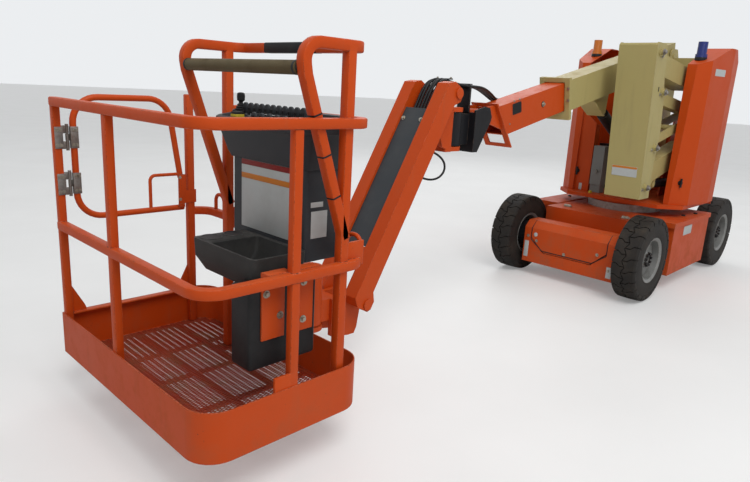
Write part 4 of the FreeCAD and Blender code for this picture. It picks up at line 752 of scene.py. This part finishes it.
plates("right_hood_plate", pale_plate, "hood_right", (172.5, 174.6, -358, -330, 655, 715, 0.4))
yellow = surface("yellow_marks", None, moulded, (0.62, 0.46, 0.03), Grime=0.35, bump=0.00005)
cap = bmesh.new()
turned(cap, (236, -215, 649.5), "z", [(0, 15), (14, 15), (20, 11), (21, 0)], 24)
piece("filler_cap", cap, yellow, "turntable")

# Tower. Cream box-section arms and links between two uprights, on steel pins held by keeper bolts, and
# lifted by a chromed rod in a black barrel.
CREAM = (0.440, 0.370, 0.150)
cream = surface("cream_paint", "cream_paint", worn_paint, CREAM, Chips=0.20, Grime=0.30, Fade=0.12,
                Bare=(0.20, 0.12, 0.06, 1), Dust=(0.16, 0.13, 0.08, 1))
chrome = surface("chrome_rod", "chrome_rod", bare_metal, (0.62, 0.62, 0.62), Rust=0.04, Shine=0.08,
                 metallic=1.0, bump=0.00002)
dress(cream, "mid_upright", "top_upright", "lower_arm", "upper_arm", "lower_link", "upper_link", "boom_base")
dress(black_steel, "tower_cylinder_barrel", "boom_cylinder_barrel")
dress(chrome, "tower_cylinder_rod", "boom_cylinder_rod")
pins = bmesh.new()
for x, z in ((882, 1796), (739, 1527), (720, 1129), (777, 837)):
    turned(pins, (x, 471, z), "y", [(0, 22), (7, 22), (7, 13), (17, 13), (20, 10), (20, 0)], 24)
piece("tower_pins", pins, bare_steel, "mid_upright")
bolts("keeper_bolts", "mid_upright", [(x + 44, 450, z - 14, "+y", 14) for x, z in ((720, 1129), (777, 837))]
      + [(840, 450, 1770, "+y", 14), (778, 450, 1512, "+y", 14)])
sign = bmesh.new()
prism(sign, [(868.3, 986), (870.9, 986), (863.2, 910), (860.6, 910)], "y", 222, 410, 0.4)
piece("tower_plate", sign, pale_plate, "mid_upright")
orange_band = surface("orange_bands", None, moulded, (0.62, 0.20, 0.02), Grime=0.4, bump=0.00005)
bands = bmesh.new()
prism(bands, [(869.0, 984.5), (871.4, 984.5), (869.9, 969.5), (867.5, 969.5)], "y", 223.5, 408.5, 0.3)
piece("tower_plate_header", bands, orange_band, "mid_upright")
# A thin black plate painted in as the shade inside a slot in the upright's side.
plates("tower_slot_shade", black_rubber_and_shade, "mid_upright", (811, 823, 449, 450.6, 1530, 1562, 3))

# Boom and jib. An orange fly slides in the cream base; the dark window in its side is a black plate, painted
# shade standing for the hollow behind it. The black nose bracket carries the rotator and the jib's two arms,
# with a black cover between them over the hoses, coloured a bluer grey as a painted reflection of the sky.
jib_orange = surface("orange_jib", "orange_paint", worn_paint, ORANGE, Chips=0.28, Grime=0.22, Fade=0.25)
# The jib's cover is dark plastic; the bluer, lighter grey in its colour is a painted reflection of the sky.
sky_tinted_cover = surface("cover_sky_reflection", "charcoal_plastic", moulded, (0.045, 0.052, 0.058), Gloss=0.42,
                        Grime=0.35, bump=0.0001)
dress(jib_orange, "boom_fly", "jib_rotator", "jib_arm", "jib_link", "jib_foot")
dress(black_steel, "nose_bracket", "jib_cylinder_barrel")
dress(chrome, "jib_cylinder_rod")
dress(sky_tinted_cover, "jib_cover")
dress(black_plastic, "hose_tray")
BOOM_PITCH = math.radians(12.5)


def on_the_boom(run, rise):
    """A place on the boom's side, in millimetres along it and across it from its pivot, as x and z."""
    return (-420 + run * math.cos(BOOM_PITCH) + rise * math.sin(BOOM_PITCH),
            1860 - run * math.sin(BOOM_PITCH) + rise * math.cos(BOOM_PITCH))


def window_outline(run, rise, half_run, half_rise, corner):
    """A rectangle with rounded corners on the boom's side."""
    spots = []
    for k, (sx, sy) in enumerate(((1, 1), (-1, 1), (-1, -1), (1, -1))):
        for i in range(5):
            a = math.pi / 2 * (k + i / 4)
            spots.append(on_the_boom(run + sx * (half_run - corner) + corner * math.cos(a),
                                     rise + sy * (half_rise - corner) + corner * math.sin(a)))
    return spots


window = bmesh.new()
prism(window, window_outline(2462, 46, 59, 42, 14), "y", 43, 45.2, 0.6)
piece("fly_window_rim", window, jib_orange, "boom_fly")
# The window's black plate is painted shade: it stands for the dark hollow inside the fly, which is not cut
# out.
window = bmesh.new()
prism(window, window_outline(2462, 46, 51, 35, 9), "y", 43, 45.8, 0.3)
disc_x, disc_z = on_the_boom(2149, 8)
turned(window, (disc_x, 43.5, disc_z), "y", [(0, 20), (2, 20), (2, 0)], 24)
piece("fly_window", window, black_rubber_and_shade, "boom_fly")
heads = []
for run, rise, lift, wide in ((2149, 8, 1.5, 17), (2430, 96, 0, 7), (2490, 96, 0, 7), (2545, -36, 0, 7)):
    x, z = on_the_boom(run, rise)
    heads.append((x, 44 + lift, z, "+y", wide))
bolts("fly_bolts", "boom_fly", heads)
bolts("collar_bolts", "boom_base",
      [(x, y, z, (0.976, 0, -0.216), 12) for x, z in ((1422, 1512), (1405, 1434)) for y in (75, -135)])
bolts("cover_top_bolts", "jib_arm", [(2899, y, 1298, (0.866, 0, 0.5), 13) for y in (-92, 32)])

# Platform floor. A sheet steel toe board with rounded corners on a flat frame with crossing bars,
# and a floor of expanded steel mesh laid on it, all sprayed orange and dulled by boots. The mesh's
# orange is a darker copy of the paint, which is painted shade among its strands.
platform_orange = surface("orange_platform", "orange_paint", worn_paint, ORANGE, Chips=0.46, Grime=0.26,
                          Fade=0.35, Edge=0.004)
FLOOR_X = (3780, 4521)
FLOOR_Y = (-634.5, 584.5)
FLOOR_CORNER = 115


def floor_outline(inset, steps=8):
    """The platform's outline from above, in millimetres, with a square front right corner."""
    x0, x1 = FLOOR_X[0] + inset, FLOOR_X[1] - inset
    y0, y1 = FLOOR_Y[0] + inset, FLOOR_Y[1] - inset
    radius = FLOOR_CORNER - inset
    spots = []
    for cx, cy, start in ((x1 - radius, y1 - radius, 0), (x0 + radius, y1 - radius, 90),
                          (x0 + radius, y0 + radius, 180)):
        for i in range(steps + 1):
            a = math.radians(start + 90 * i / steps)
            spots.append((cx + radius * math.cos(a), cy + radius * math.sin(a)))
    return spots + [(x1, y0)]


def walled_ring(shape, outer, inner, z0, z1):
    """A closed wall between two outlines of as many points, from a low height to a high one."""
    rings = []
    for outline, z in ((outer, z0), (outer, z1), (inner, z1), (inner, z0)):
        rings.append([shape.verts.new(metres(x, y, z)) for x, y in outline])
    for one, two in zip(rings, rings[1:] + rings[:1]):
        skin(shape, one, two)


tray = bmesh.new()
walled_ring(tray, floor_outline(0), floor_outline(5), 193, 384)
walled_ring(tray, floor_outline(4.5), floor_outline(40), 193, 201)
for x in (3985, 4180, 4350):
    block(tray, x - 15, x + 15, FLOOR_Y[0] + 30, FLOOR_Y[1] - 30, 193.2, 200.8)
for y in (-329.5, -59.5, 240.5):
    block(tray, FLOOR_X[0] + 30, FLOOR_X[1] - 30, y - 15, y + 15, 193.4, 200.6)
block(tray, 3799, 4000, -255, -195, 193, 201)
PIVOT_X, PIVOT_Y, EAR = 3585, -30, 75
for z0, z1 in ((270, 295), (565, 590)):
    turned(tray, (PIVOT_X, PIVOT_Y, z0), "z", [(0, EAR), (z1 - z0, EAR)], 32)
    block(tray, PIVOT_X, 3781, PIVOT_Y - EAR, PIVOT_Y + EAR, z0, z1, 1.5)
block(tray, 3668, 3781, PIVOT_Y - EAR, PIVOT_Y + EAR, 270, 590, 2)
turned(tray, (PIVOT_X, PIVOT_Y, 262), "z", [(0, 19.5), (336, 19.5)], 24)
piece("platform_tray", tray, platform_orange, "platform", ["platform_floor"])

mesh_tree = bpy.data.node_groups.new("expanded_mesh", "GeometryNodeTree")
tree = mesh_tree
given, out = group_sockets(
    tree, [("Strands", "Geometry"), ("Columns", "Int"), ("Rows", "Int"), ("Size X", "Float"),
           ("Size Y", "Float"), ("Middle", "Vector"), ("Finish", "Material")],
    [("Mesh", "Geometry")])
grid = node(tree, "GeometryNodeMeshGrid",
            {"Size X": given.outputs["Size X"], "Size Y": given.outputs["Size Y"],
             "Vertices X": given.outputs["Columns"], "Vertices Y": given.outputs["Rows"]}).outputs[0]
packed = node(tree, "GeometryNodeGeometryToInstance")
tree.links.new(given.outputs["Strands"], packed.inputs[0])
placed = node(tree, "GeometryNodeInstanceOnPoints", {"Points": grid, "Instance": packed.outputs[0]})
plain_end(tree, given, out, placed, given.outputs["Middle"])

CELL_X, CELL_Y = 30.0, 13.4
strand = bmesh.new()
for way in (1, -1):
    along = Vector((CELL_X / 2000, way * CELL_Y / 2000, 0))
    across = Vector((-along.y, along.x, 0)).normalized() * 0.0015
    ends = []
    for far in (-1, 1):
        for side_sign, level in ((-1, -0.0015), (1, -0.0015), (1, 0.0015), (-1, 0.0015)):
            lift = Vector((0, 0, level + 0.0006 * way * far))
            ends.append(strand.verts.new(along * far + across * side_sign + lift))
    for quad in SIX_SIDES:
        strand.faces.new([ends[i] for i in quad])
bmesh.ops.recalc_face_normals(strand, faces=strand.faces)
cell = bpy.data.meshes.new("mesh_cell")
strand.to_mesh(cell)
strand.free()
# The mesh's paint is a darker copy of the orange, as painted shade among the strands; its chips and dirt are
# the boots' real wear.
mesh_orange_shaded = surface("orange_mesh_shaded", "orange_paint", worn_paint, (0.330, 0.030, 0.010), Chips=0.60,
                      Grime=0.55, Fade=0.35, Edge=0.0006)
columns = int((FLOOR_X[1] - FLOOR_X[0] - 14 - CELL_X) / CELL_X) + 1
rows = int((FLOOR_Y[1] - FLOOR_Y[0] - 14 - CELL_Y) / CELL_Y) + 1
floor_piece = grown("mesh_floor", cell, mesh_tree,
                    {"Columns": columns, "Rows": rows, "Size X": (columns - 1) * CELL_X / 1000,
                     "Size Y": (rows - 1) * CELL_Y / 1000, "Finish": mesh_orange_shaded,
                     "Middle": metres((FLOOR_X[0] + FLOOR_X[1]) / 2, (FLOOR_Y[0] + FLOOR_Y[1]) / 2, 203.1)},
                    mesh_orange_shaded, "platform")
FLOOR_EDGE = 6
trimmed = bmesh.new()
trimmed.from_mesh(floor_piece.data)
spots = []
for vert in trimmed.verts:
    x, y = (vert.co.x - SLEW_X) * 1000, vert.co.y * 1000
    for sx, sy in ((1, 1), (-1, 1), (-1, -1)):
        past_x = (x - FLOOR_X[sx > 0]) * sx + FLOOR_CORNER
        past_y = (y - FLOOR_Y[sy > 0]) * sy + FLOOR_CORNER
        if past_x > 0 and past_y > 0 and math.hypot(past_x, past_y) > FLOOR_CORNER - FLOOR_EDGE:
            spots.append(vert)
cut_off = set()
while spots:
    spot = spots.pop()
    if spot not in cut_off:
        cut_off.add(spot)
        spots.extend(e.other_vert(spot) for e in spot.link_edges)
bmesh.ops.delete(trimmed, geom=list(cut_off), context="VERTS")
trimmed.to_mesh(floor_piece.data)
trimmed.free()

# Rails. Square tube bent round the corners, with posts, a bent hoop over the console and anchor rings,
# welded and sprayed orange. Hands have worn the edges. A bar in a tan sleeve lies across the hoop, with
# black tape on the hoop's top and ties on its leg.
RAIL = 19
RAIL_REAR, RAIL_FRONT, RAIL_LEFT, RAIL_RIGHT = 3799, 4502, 565.5, -615.5
POST_LOW = 204.6
HOOP_Y = (550, -225)
HOOP_LEG_X = 3911
rails = bmesh.new()
loop = [(RAIL_REAR, RAIL_LEFT), (RAIL_FRONT, RAIL_LEFT), (RAIL_FRONT, RAIL_RIGHT)]
for z, start in ((792, [(3890, RAIL_RIGHT), (RAIL_REAR, RAIL_RIGHT)]),
                 (1321, [(HOOP_LEG_X, HOOP_Y[1]), (RAIL_REAR, HOOP_Y[1])])):
    bar(rails, rounded_path([(x, y, z) for x, y in start + loop], 86), RAIL)
for x, y, z1 in ((RAIL_FRONT, -85, 1321), (4143, RAIL_LEFT, 1321), (RAIL_FRONT, RAIL_RIGHT, 1321),
                 (3890, RAIL_RIGHT + 3, 1368)):
    block(rails, x - RAIL, x + RAIL - (5 if x == RAIL_FRONT else 0), y - RAIL + (5 if y < -600 else 0),
          y + RAIL - (5 if y > 500 else 0), POST_LOW, z1, 6)
block(rails, 3908, 4484, -629, -597, 376, 384, 1)
for x, way in ((4483, -1), (3909, 1)):
    prism(rails, [(x - way, 383), (x + way * 64, 383), (x + way * 56, 408), (x - way, 516)], "y",
          RAIL_RIGHT - 3, RAIL_RIGHT + 3, 1)
block(rails, 4127, 4229, 567.5, 579, POST_LOW, 435, 1)
for x0, x1 in ((4139, 4239), (4008, 4100)):
    block(rails, x0, x1, 500.8, 508.8, 556, 811, 1)
    block(rails, x0, x1, 508, 548, 773, 811, 1)
hoop = [(HOOP_LEG_X - 6, 900), (4105, 1480), (4123, 1585), (3836, 1585)]
hoop = [(x, HOOP_Y[0], z) for x, z in hoop] + [(x, HOOP_Y[1], z) for x, z in hoop[::-1]]
bar(rails, rounded_path(hoop, 60), 20)
for y in HOOP_Y:
    block(rails, HOOP_LEG_X - 20, HOOP_LEG_X + 20, y - 20, y + 20, POST_LOW, 1585, 7)
    block(rails, RAIL_REAR, HOOP_LEG_X - 18, y - 5, y + 5, 781, 878, 1.5)
for y in (-477.5, 497.5):
    bar(rails, rounded_path([(RAIL_REAR, y - 38, 802), (RAIL_REAR, y - 38, 888), (RAIL_REAR, y + 38, 888),
                             (RAIL_REAR, y + 38, 802)], 34), 9, 9)
piece("rails", rails, platform_orange, "platform", ["platform_rails"])

tape = bmesh.new()
block(tape, 3815, 3857, -40, 300, 1564.2, 1606, 7)
LEG_WAY = Vector((0.326, 0, 0.9454))
for x, z in ((3960, 1060), (4012, 1210), (4060, 1350)):
    tie = Vector((x, HOOP_Y[0], z))
    bar(tape, [metres(*(tie - LEG_WAY * 3)), metres(*(tie + LEG_WAY * 3))], 21, 8)
piece("rail_tape", tape, black_rubber_and_shade, "platform")

sleeve = surface("bar_sleeve", "tan_bar", moulded, (0.110, 0.082, 0.036), Dust=(0.05, 0.035, 0.02, 1),
                 Grime=0.8, Gloss=0.5, Pebble=500.0, bump=0.0003)
sensor = bmesh.new()
turned(sensor, (4112, -201, 1500), "y", [(0, 21), (3, 24), (724, 24), (727, 21)], 32)
piece("sensor_sleeve", sensor, sleeve, "platform", ["sensor_bar"])
caps = bmesh.new()
for y, way in ((-201, -1), (526, 1)):
    turned(caps, (4112, y - way * 14, 1500), (0, way, 0), [(0, 25), (10, 25), (13, 18), (20, 15), (21.5, 15)])
black_caps = surface("black_caps", "black_plastic", moulded, (0.013, 0.013, 0.014), Gloss=0.42, bump=0.0001)
piece("sensor_caps", caps, black_caps, "platform")

# Console. A charcoal moulded stand with a flaring tub, a sloping deck of switches under scalloped
# guards, and a joystick in a rubber boot.
charcoal = surface("charcoal_plastic", "charcoal_plastic", moulded, (0.034, 0.038, 0.043), Grime=0.22,
                   bump=0.00015)


def flared(shape, sections):
    """A moulded body through rounded rectangles: (x0, x1, y0, y1, z, corner), in millimetres."""
    rings = []
    for x0, x1, y0, y1, z, corner in sections:
        ring = []
        for cx, cy, start in ((x1 - corner, y1 - corner, 0), (x0 + corner, y1 - corner, 90),
                              (x0 + corner, y0 + corner, 180), (x1 - corner, y0 + corner, 270)):
            for i in range(6):
                a = math.radians(start + 90 * i / 5)
                x, y = cx + corner * math.cos(a), cy + corner * math.sin(a)
                ring.append(shape.verts.new(metres(x, y, z(x) if callable(z) else z)))
        rings.append(ring)
    for low, high in zip(rings, rings[1:]):
        skin(shape, low, high)
    shape.faces.new(rings[0][::-1])
    shape.faces.new(rings[-1])


def rim_height(x):
    """The deck's rim slopes down towards the operator."""
    return 1338 - (x - 3818) * 38 / 238


console = bmesh.new()
flared(console, [(3818.5, 4000, -44.5, 440.5, 790, 14), (3818.5, 4000, -44.5, 440.5, 1146, 14)])
flared(console, [(3818.5, 4006, -60, 452, 1142, 20), (3818.5, 4018, -70, 458, 1165, 24),
                 (3818.5, 4042, -100, 488, 1250, 36), (3818.5, 4050, -108, 497, 1272, 40),
                 (3818.5, 4056, -114, 503, 1276, 42), (3818.5, 4056, -114, 503, rim_height, 42),
                 (3824, 4050, -108, 497, lambda x: rim_height(x) + 3, 38),
                 (3838, 4038, -92, 482, lambda x: rim_height(x) + 2, 30),
                 (3842, 4034, -86, 476, lambda x: rim_height(x) - 10, 27)])
turned(console, (3950, -79.5, 1300), "z", [(0, 27), (26, 26), (30, 22)], 28)
piece("console_shell", console, charcoal, "platform", ["control_console"])

boot = bmesh.new()
turned(boot, (3950, -62, 1318), "z",
       [(0, 27), (5, 28), (9, 23), (14, 25), (18, 19), (23, 21), (27, 15), (32, 16), (36, 10), (40, 9)])
turned(boot, (3950, -62, 1352), "z", [(0, 8), (10, 9), (16, 16), (34, 17), (44, 15), (47, 9), (48, 0)], 24)
piece("joystick_grip", boot, black_rubber_and_shade, "platform")

BACK_ROW = [-31 + i * 38 for i in range(11)]
FRONT_ROW = [149 + i * 49 for i in range(5)]
guards = bmesh.new()
for x, z, row, half_wide, tall in ((3940, 1318, BACK_ROW, 17, 44), (4022, 1304, FRONT_ROW, 19, 28)):
    for y in row:
        outline = []
        for k in range(9):
            a = math.pi * k / 8
            outline.append((y + half_wide * math.cos(a) * (1 - 0.12 * math.sin(a)),
                            z + tall - half_wide + half_wide * math.sin(a)))
        outline += [(y - half_wide, z), (y + half_wide, z)]
        prism(guards, outline, "x", x, x + 12, 2)
piece("switch_guards", guards, charcoal, "platform")
switches = bmesh.new()
for y in BACK_ROW:
    turned(switches, (3958, y, 1312), "z", [(0, 6), (16, 6), (17, 3), (30, 4), (31, 0)], 12)
for y in FRONT_ROW:
    turned(switches, (4036, y, 1296), "z", [(0, 7), (12, 7), (13, 3.5), (24, 4.5), (25, 0)], 12)
piece("toggle_switches", switches, black_rubber_and_shade, "platform")
marks = bmesh.new()
for one, two in zip(FRONT_ROW, FRONT_ROW[1:]):
    y = (one + two) / 2
    block(marks, 4018, 4038, y - 6, y + 6, 1300, 1313, 1)
block(marks, 4000, 4040, 0, 40, 1301, 1316, 2)
piece("switch_marks", marks, yellow, "platform")
plates("deck_plate", pale_plate, "platform", (3968, 4012, 138, 262, 1310, 1324, 3))
deck_frame = bmesh.new()
corners = ((3964, 134), (4016, 134), (4016, 266), (3964, 266), (3964, 135))
bar(deck_frame, [metres(x, y, 1322) for x, y in corners], 4, 3)
block(deck_frame, 4002, 4038, 1, 38, 1316, 1326, 2)
piece("deck_trim", deck_frame, black_rubber_and_shade, "platform")

red_band = surface("red_bands", None, moulded, (0.24, 0.016, 0.012), Grime=0.4, bump=0.00005)
plates("console_boards", pale_plate, "platform", (3999.5, 4001.2, 22, 345, 858, 1140, 0.6),
       (3999.5, 4001.2, 92, 300, 792, 836, 0.6), (3915, 3975, 440, 441.8, 1000, 1020, 0.5),
       (3893, 3972, 440, 442, 880, 985, 0.6))
plates("red_header", red_band, "platform", (4000.8, 4001.9, 23, 344, 1117, 1139, 0.3))
plates("orange_header", orange_band, "platform", (4000.8, 4001.9, 23, 344, 1062, 1084, 0.3))

# Tool tray. A black moulded bin with two cup holders, screwed to the console's front, over the black
# box that holds the valves.
tray_plastic = surface("tray_plastic", "black_plastic", moulded, (0.032, 0.032, 0.031),
                       Dust=(0.14, 0.135, 0.125, 1), Grime=0.6, Scuffs=0.8, Gloss=0.5, bump=0.0002)
bin_shape = bmesh.new()
flared(bin_shape, [(4062, 4202, 60, 440, 712, 16), (4006, 4238, 44, 456, 772, 18),
                   (4000.5, 4240, 39.5, 459.5, 830, 20), (4000.5, 4240, 39.5, 459.5, 842, 20),
                   (4006, 4234, 150, 452, 843, 18), (4012, 4228, 156, 446, 838, 16),
                   (4022, 4216, 162, 440, 776, 14), (4072, 4196, 170, 430, 722, 12)])
piece("tool_bin", bin_shape, tray_plastic, "platform", ["tool_tray"])
cups = bmesh.new()
# The flat black discs across the cup holders are painted shade, standing for their dark hollows.
cup_well_shade = bmesh.new()
for x in (4082, 4184):
    turned(cups, (x, 88, 836), "z", [(7.5, 46), (9, 44), (9, 38), (7, 37), (7, 0)], 32)
    turned(cup_well_shade, (x, 88, 843.2), "z", [(0, 0), (0, 37), (0.6, 37), (0.6, 0)], 32)
piece("cup_rims", cups, tray_plastic, "platform")
piece("cup_well_shade", cup_well_shade, black_rubber_and_shade, "platform")
valve_box = bmesh.new()
block(valve_box, 3985, 4285, 380.5, 500.5, 445, 755, 14, 4)
piece("valve_box", valve_box, black_plastic, "platform", ["platform_box"])
bolts("box_bolts", "platform",
      [(x, 508.8, z, "+y", 15) for x, z in ((4160, 640), (4220, 730), (4055, 745), (4055, 600))])

# Gate. A bent round tube with a leaning rear upright, a handle loop and a latch plate, hung on two
# steel strap hinges on the corner post.
GATE = 14
PIN_X = 4456
gate = bmesh.new()
bar(gate, rounded_path([(4430, RAIL_RIGHT, 1075), (4430, RAIL_RIGHT, 1342), (3996, RAIL_RIGHT, 1342),
                        (3938, RAIL_RIGHT, 967)], 110, 9), GATE, GATE)
bar(gate, rounded_path([(4430, RAIL_RIGHT, 1076), (4430, RAIL_RIGHT, 816), (3925, RAIL_RIGHT, 816)], 110, 9),
    GATE, GATE)
bar(gate, rounded_path([(4094, RAIL_RIGHT, 816), (4094, RAIL_RIGHT, 983), (3938, RAIL_RIGHT, 983)], 26, 6),
    8, 8)
prism(gate, [(3958, 839), (3958, 984), (3918, 984), (3918, 905), (3866, 905), (3866, 839)], "y",
      -593.2, -591.2, 0.6)
block(gate, 3927, 3956, -605, -592, 820, 983, 1)
piece("gate_frame", gate, platform_orange, "gate", ["gate"])
HINGE_HEIGHTS = (1171.5, 973)
for name, body, x0, x1, y, bend_x, side, rings, bolt_x in (
        ("hinge_straps_gate", "gate", 4414, 4447, -602.5, 4444, -616,
         ((-15, 15),), (4423, 4435)),
        ("hinge_straps_post", "platform", 4479.5, 4513, -596.5, 4479.5, -621,
         ((-50, -17), (17, 50)), (4490, 4505))):
    reach = sorted((PIN_X, bend_x + 1))
    straps = bmesh.new()
    for z in HINGE_HEIGHTS:
        block(straps, x0, x1, y, y + 4, z - 46, z + 46, 1)
        block(straps, bend_x, bend_x + 3, side, y + 3.5, z - 46, z + 46, 0.8)
        for low, high in rings:
            turned(straps, (PIN_X, RAIL_RIGHT, z + low), "z", [(0, 7.5), (high - low, 7.5)], 20)
            block(straps, *reach, -619, -612, z + low, z + high, 0.8)
        if body == "platform":
            turned(straps, (PIN_X, RAIL_RIGHT, z - 56), "z",
                   [(0, 7), (4, 7), (4, 5), (108, 5), (108, 7), (112, 7)], 16)
    piece(name, straps, bare_steel, body)
    bolts(name + "_bolts", body, [(x, y + 4, z + dz, "+y", 8.5) for z in HINGE_HEIGHTS for x in bolt_x
                                  for dz in (-32, 32)], head=0.35)
bolts("latch_bolts", "gate", [(3952, -591.2, z, "+y", 8) for z in (860, 970)], head=0.35)

# Hoses. Black rubber hoses run from the tray on the fly over the nose and down under the jib's cover,
# clamped in steel saddles, and one loop hangs below the jib.
hose_rubber = surface("hose_rubber", "black_plastic", moulded, (0.009, 0.009, 0.010), Grime=0.30, Gloss=0.42,
                      Edge=0.0005, Pebble=1500.0, bump=0.00005)


def hose(name, points, diameter, body):
    """A rubber hose along one smooth line through a route in millimetres, on a body or across a joint."""
    curve = bpy.data.curves.new(name + "_line", "CURVE")
    curve.dimensions = "3D"
    spline = curve.splines.new("NURBS")
    spline.points.add(len(points) - 1)
    for spot, place in zip(spline.points, points):
        spot.co = (*metres(*place), 1.0)
    spline.order_u = 3
    spline.use_endpoint_u = True
    spline.resolution_u = 8
    line = bpy.data.objects.new(name + "_line", curve)
    scene.collection.objects.link(line)
    drawn = bpy.data.meshes.new_from_object(line.evaluated_get(bpy.context.evaluated_depsgraph_get()))
    path = [v.co.copy() for v in drawn.vertices]
    bpy.data.objects.remove(line)
    bpy.data.meshes.remove(drawn)
    shape = bmesh.new()
    bar(shape, path, diameter / 2, diameter / 2)
    made = piece(name, shape, hose_rubber, body)


HOSE = 15
BUNDLE_Y = -30
FAN = 1.35
for i, y in enumerate((-62, -46, -30, -14, 2)):
    number = str(i + 1)
    z = (i % 2) * 14
    hose("nose_hose_" + number,
         [(1850, -160 + i * 7, 1392 + z), (1960, -157 + i * 9, 1398 + z), (2120, -130 + i * 15, 1450),
          (2300, y - 8, 1482), (2400, y, 1486), (2452, y, 1486)],
         HOSE, ("boom_fly", "nose_bracket", (2290, BUNDLE_Y, 1486), (2400, BUNDLE_Y, 1486)))
    hose("swing_hose_" + number,
         [(2452, y, 1486), (2500, y, 1488), (2560, y, 1492), (2610, y, 1500), (2652, y, 1506)],
         HOSE, ("nose_bracket", "jib_rotator", (2490, BUNDLE_Y, 1490), (2625, BUNDLE_Y, 1490)))
    z = (i % 2) * 5
    wide = BUNDLE_Y + (y - BUNDLE_Y) * FAN
    hose("jib_hose_" + number,
         [(2652, y, 1506), (2692, y, 1514 + z), (2748, wide, 1492 + z), (2792, wide, 1432 + z),
          (2822, wide, 1372), (2846, wide, 1328), (2882, wide, 1266)],
         HOSE, ("jib_rotator", "jib_arm", (2670, BUNDLE_Y, 1500), (2800, BUNDLE_Y, 1420)))
plates("nose_saddle", black_steel, "nose_bracket", (2446, 2458, -74, 14, 1340, 1480, 2),
       (2441, 2463, -74, 14, 1494, 1500, 1.5))
plates("rotator_saddle", black_steel, "jib_rotator", (2646, 2658, -84, 24, 1364, 1499, 2),
       (2640, 2664, -84, 24, 1514, 1520, 1.5))
bolts("saddle_bolts", "jib_rotator", [(2652, y, 1520, "+z", 10) for y in (-77, 17)])
hose("jib_loop",
     [(2888, 22, 1150), (2800, 22, 1134), (2706, 30, 1096), (2664, 36, 1050), (2672, 36, 1000),
      (2722, 30, 968), (2800, 22, 968), (2890, 16, 1000), (2962, 14, 1010)],
     12, "jib_arm")

low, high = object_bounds()
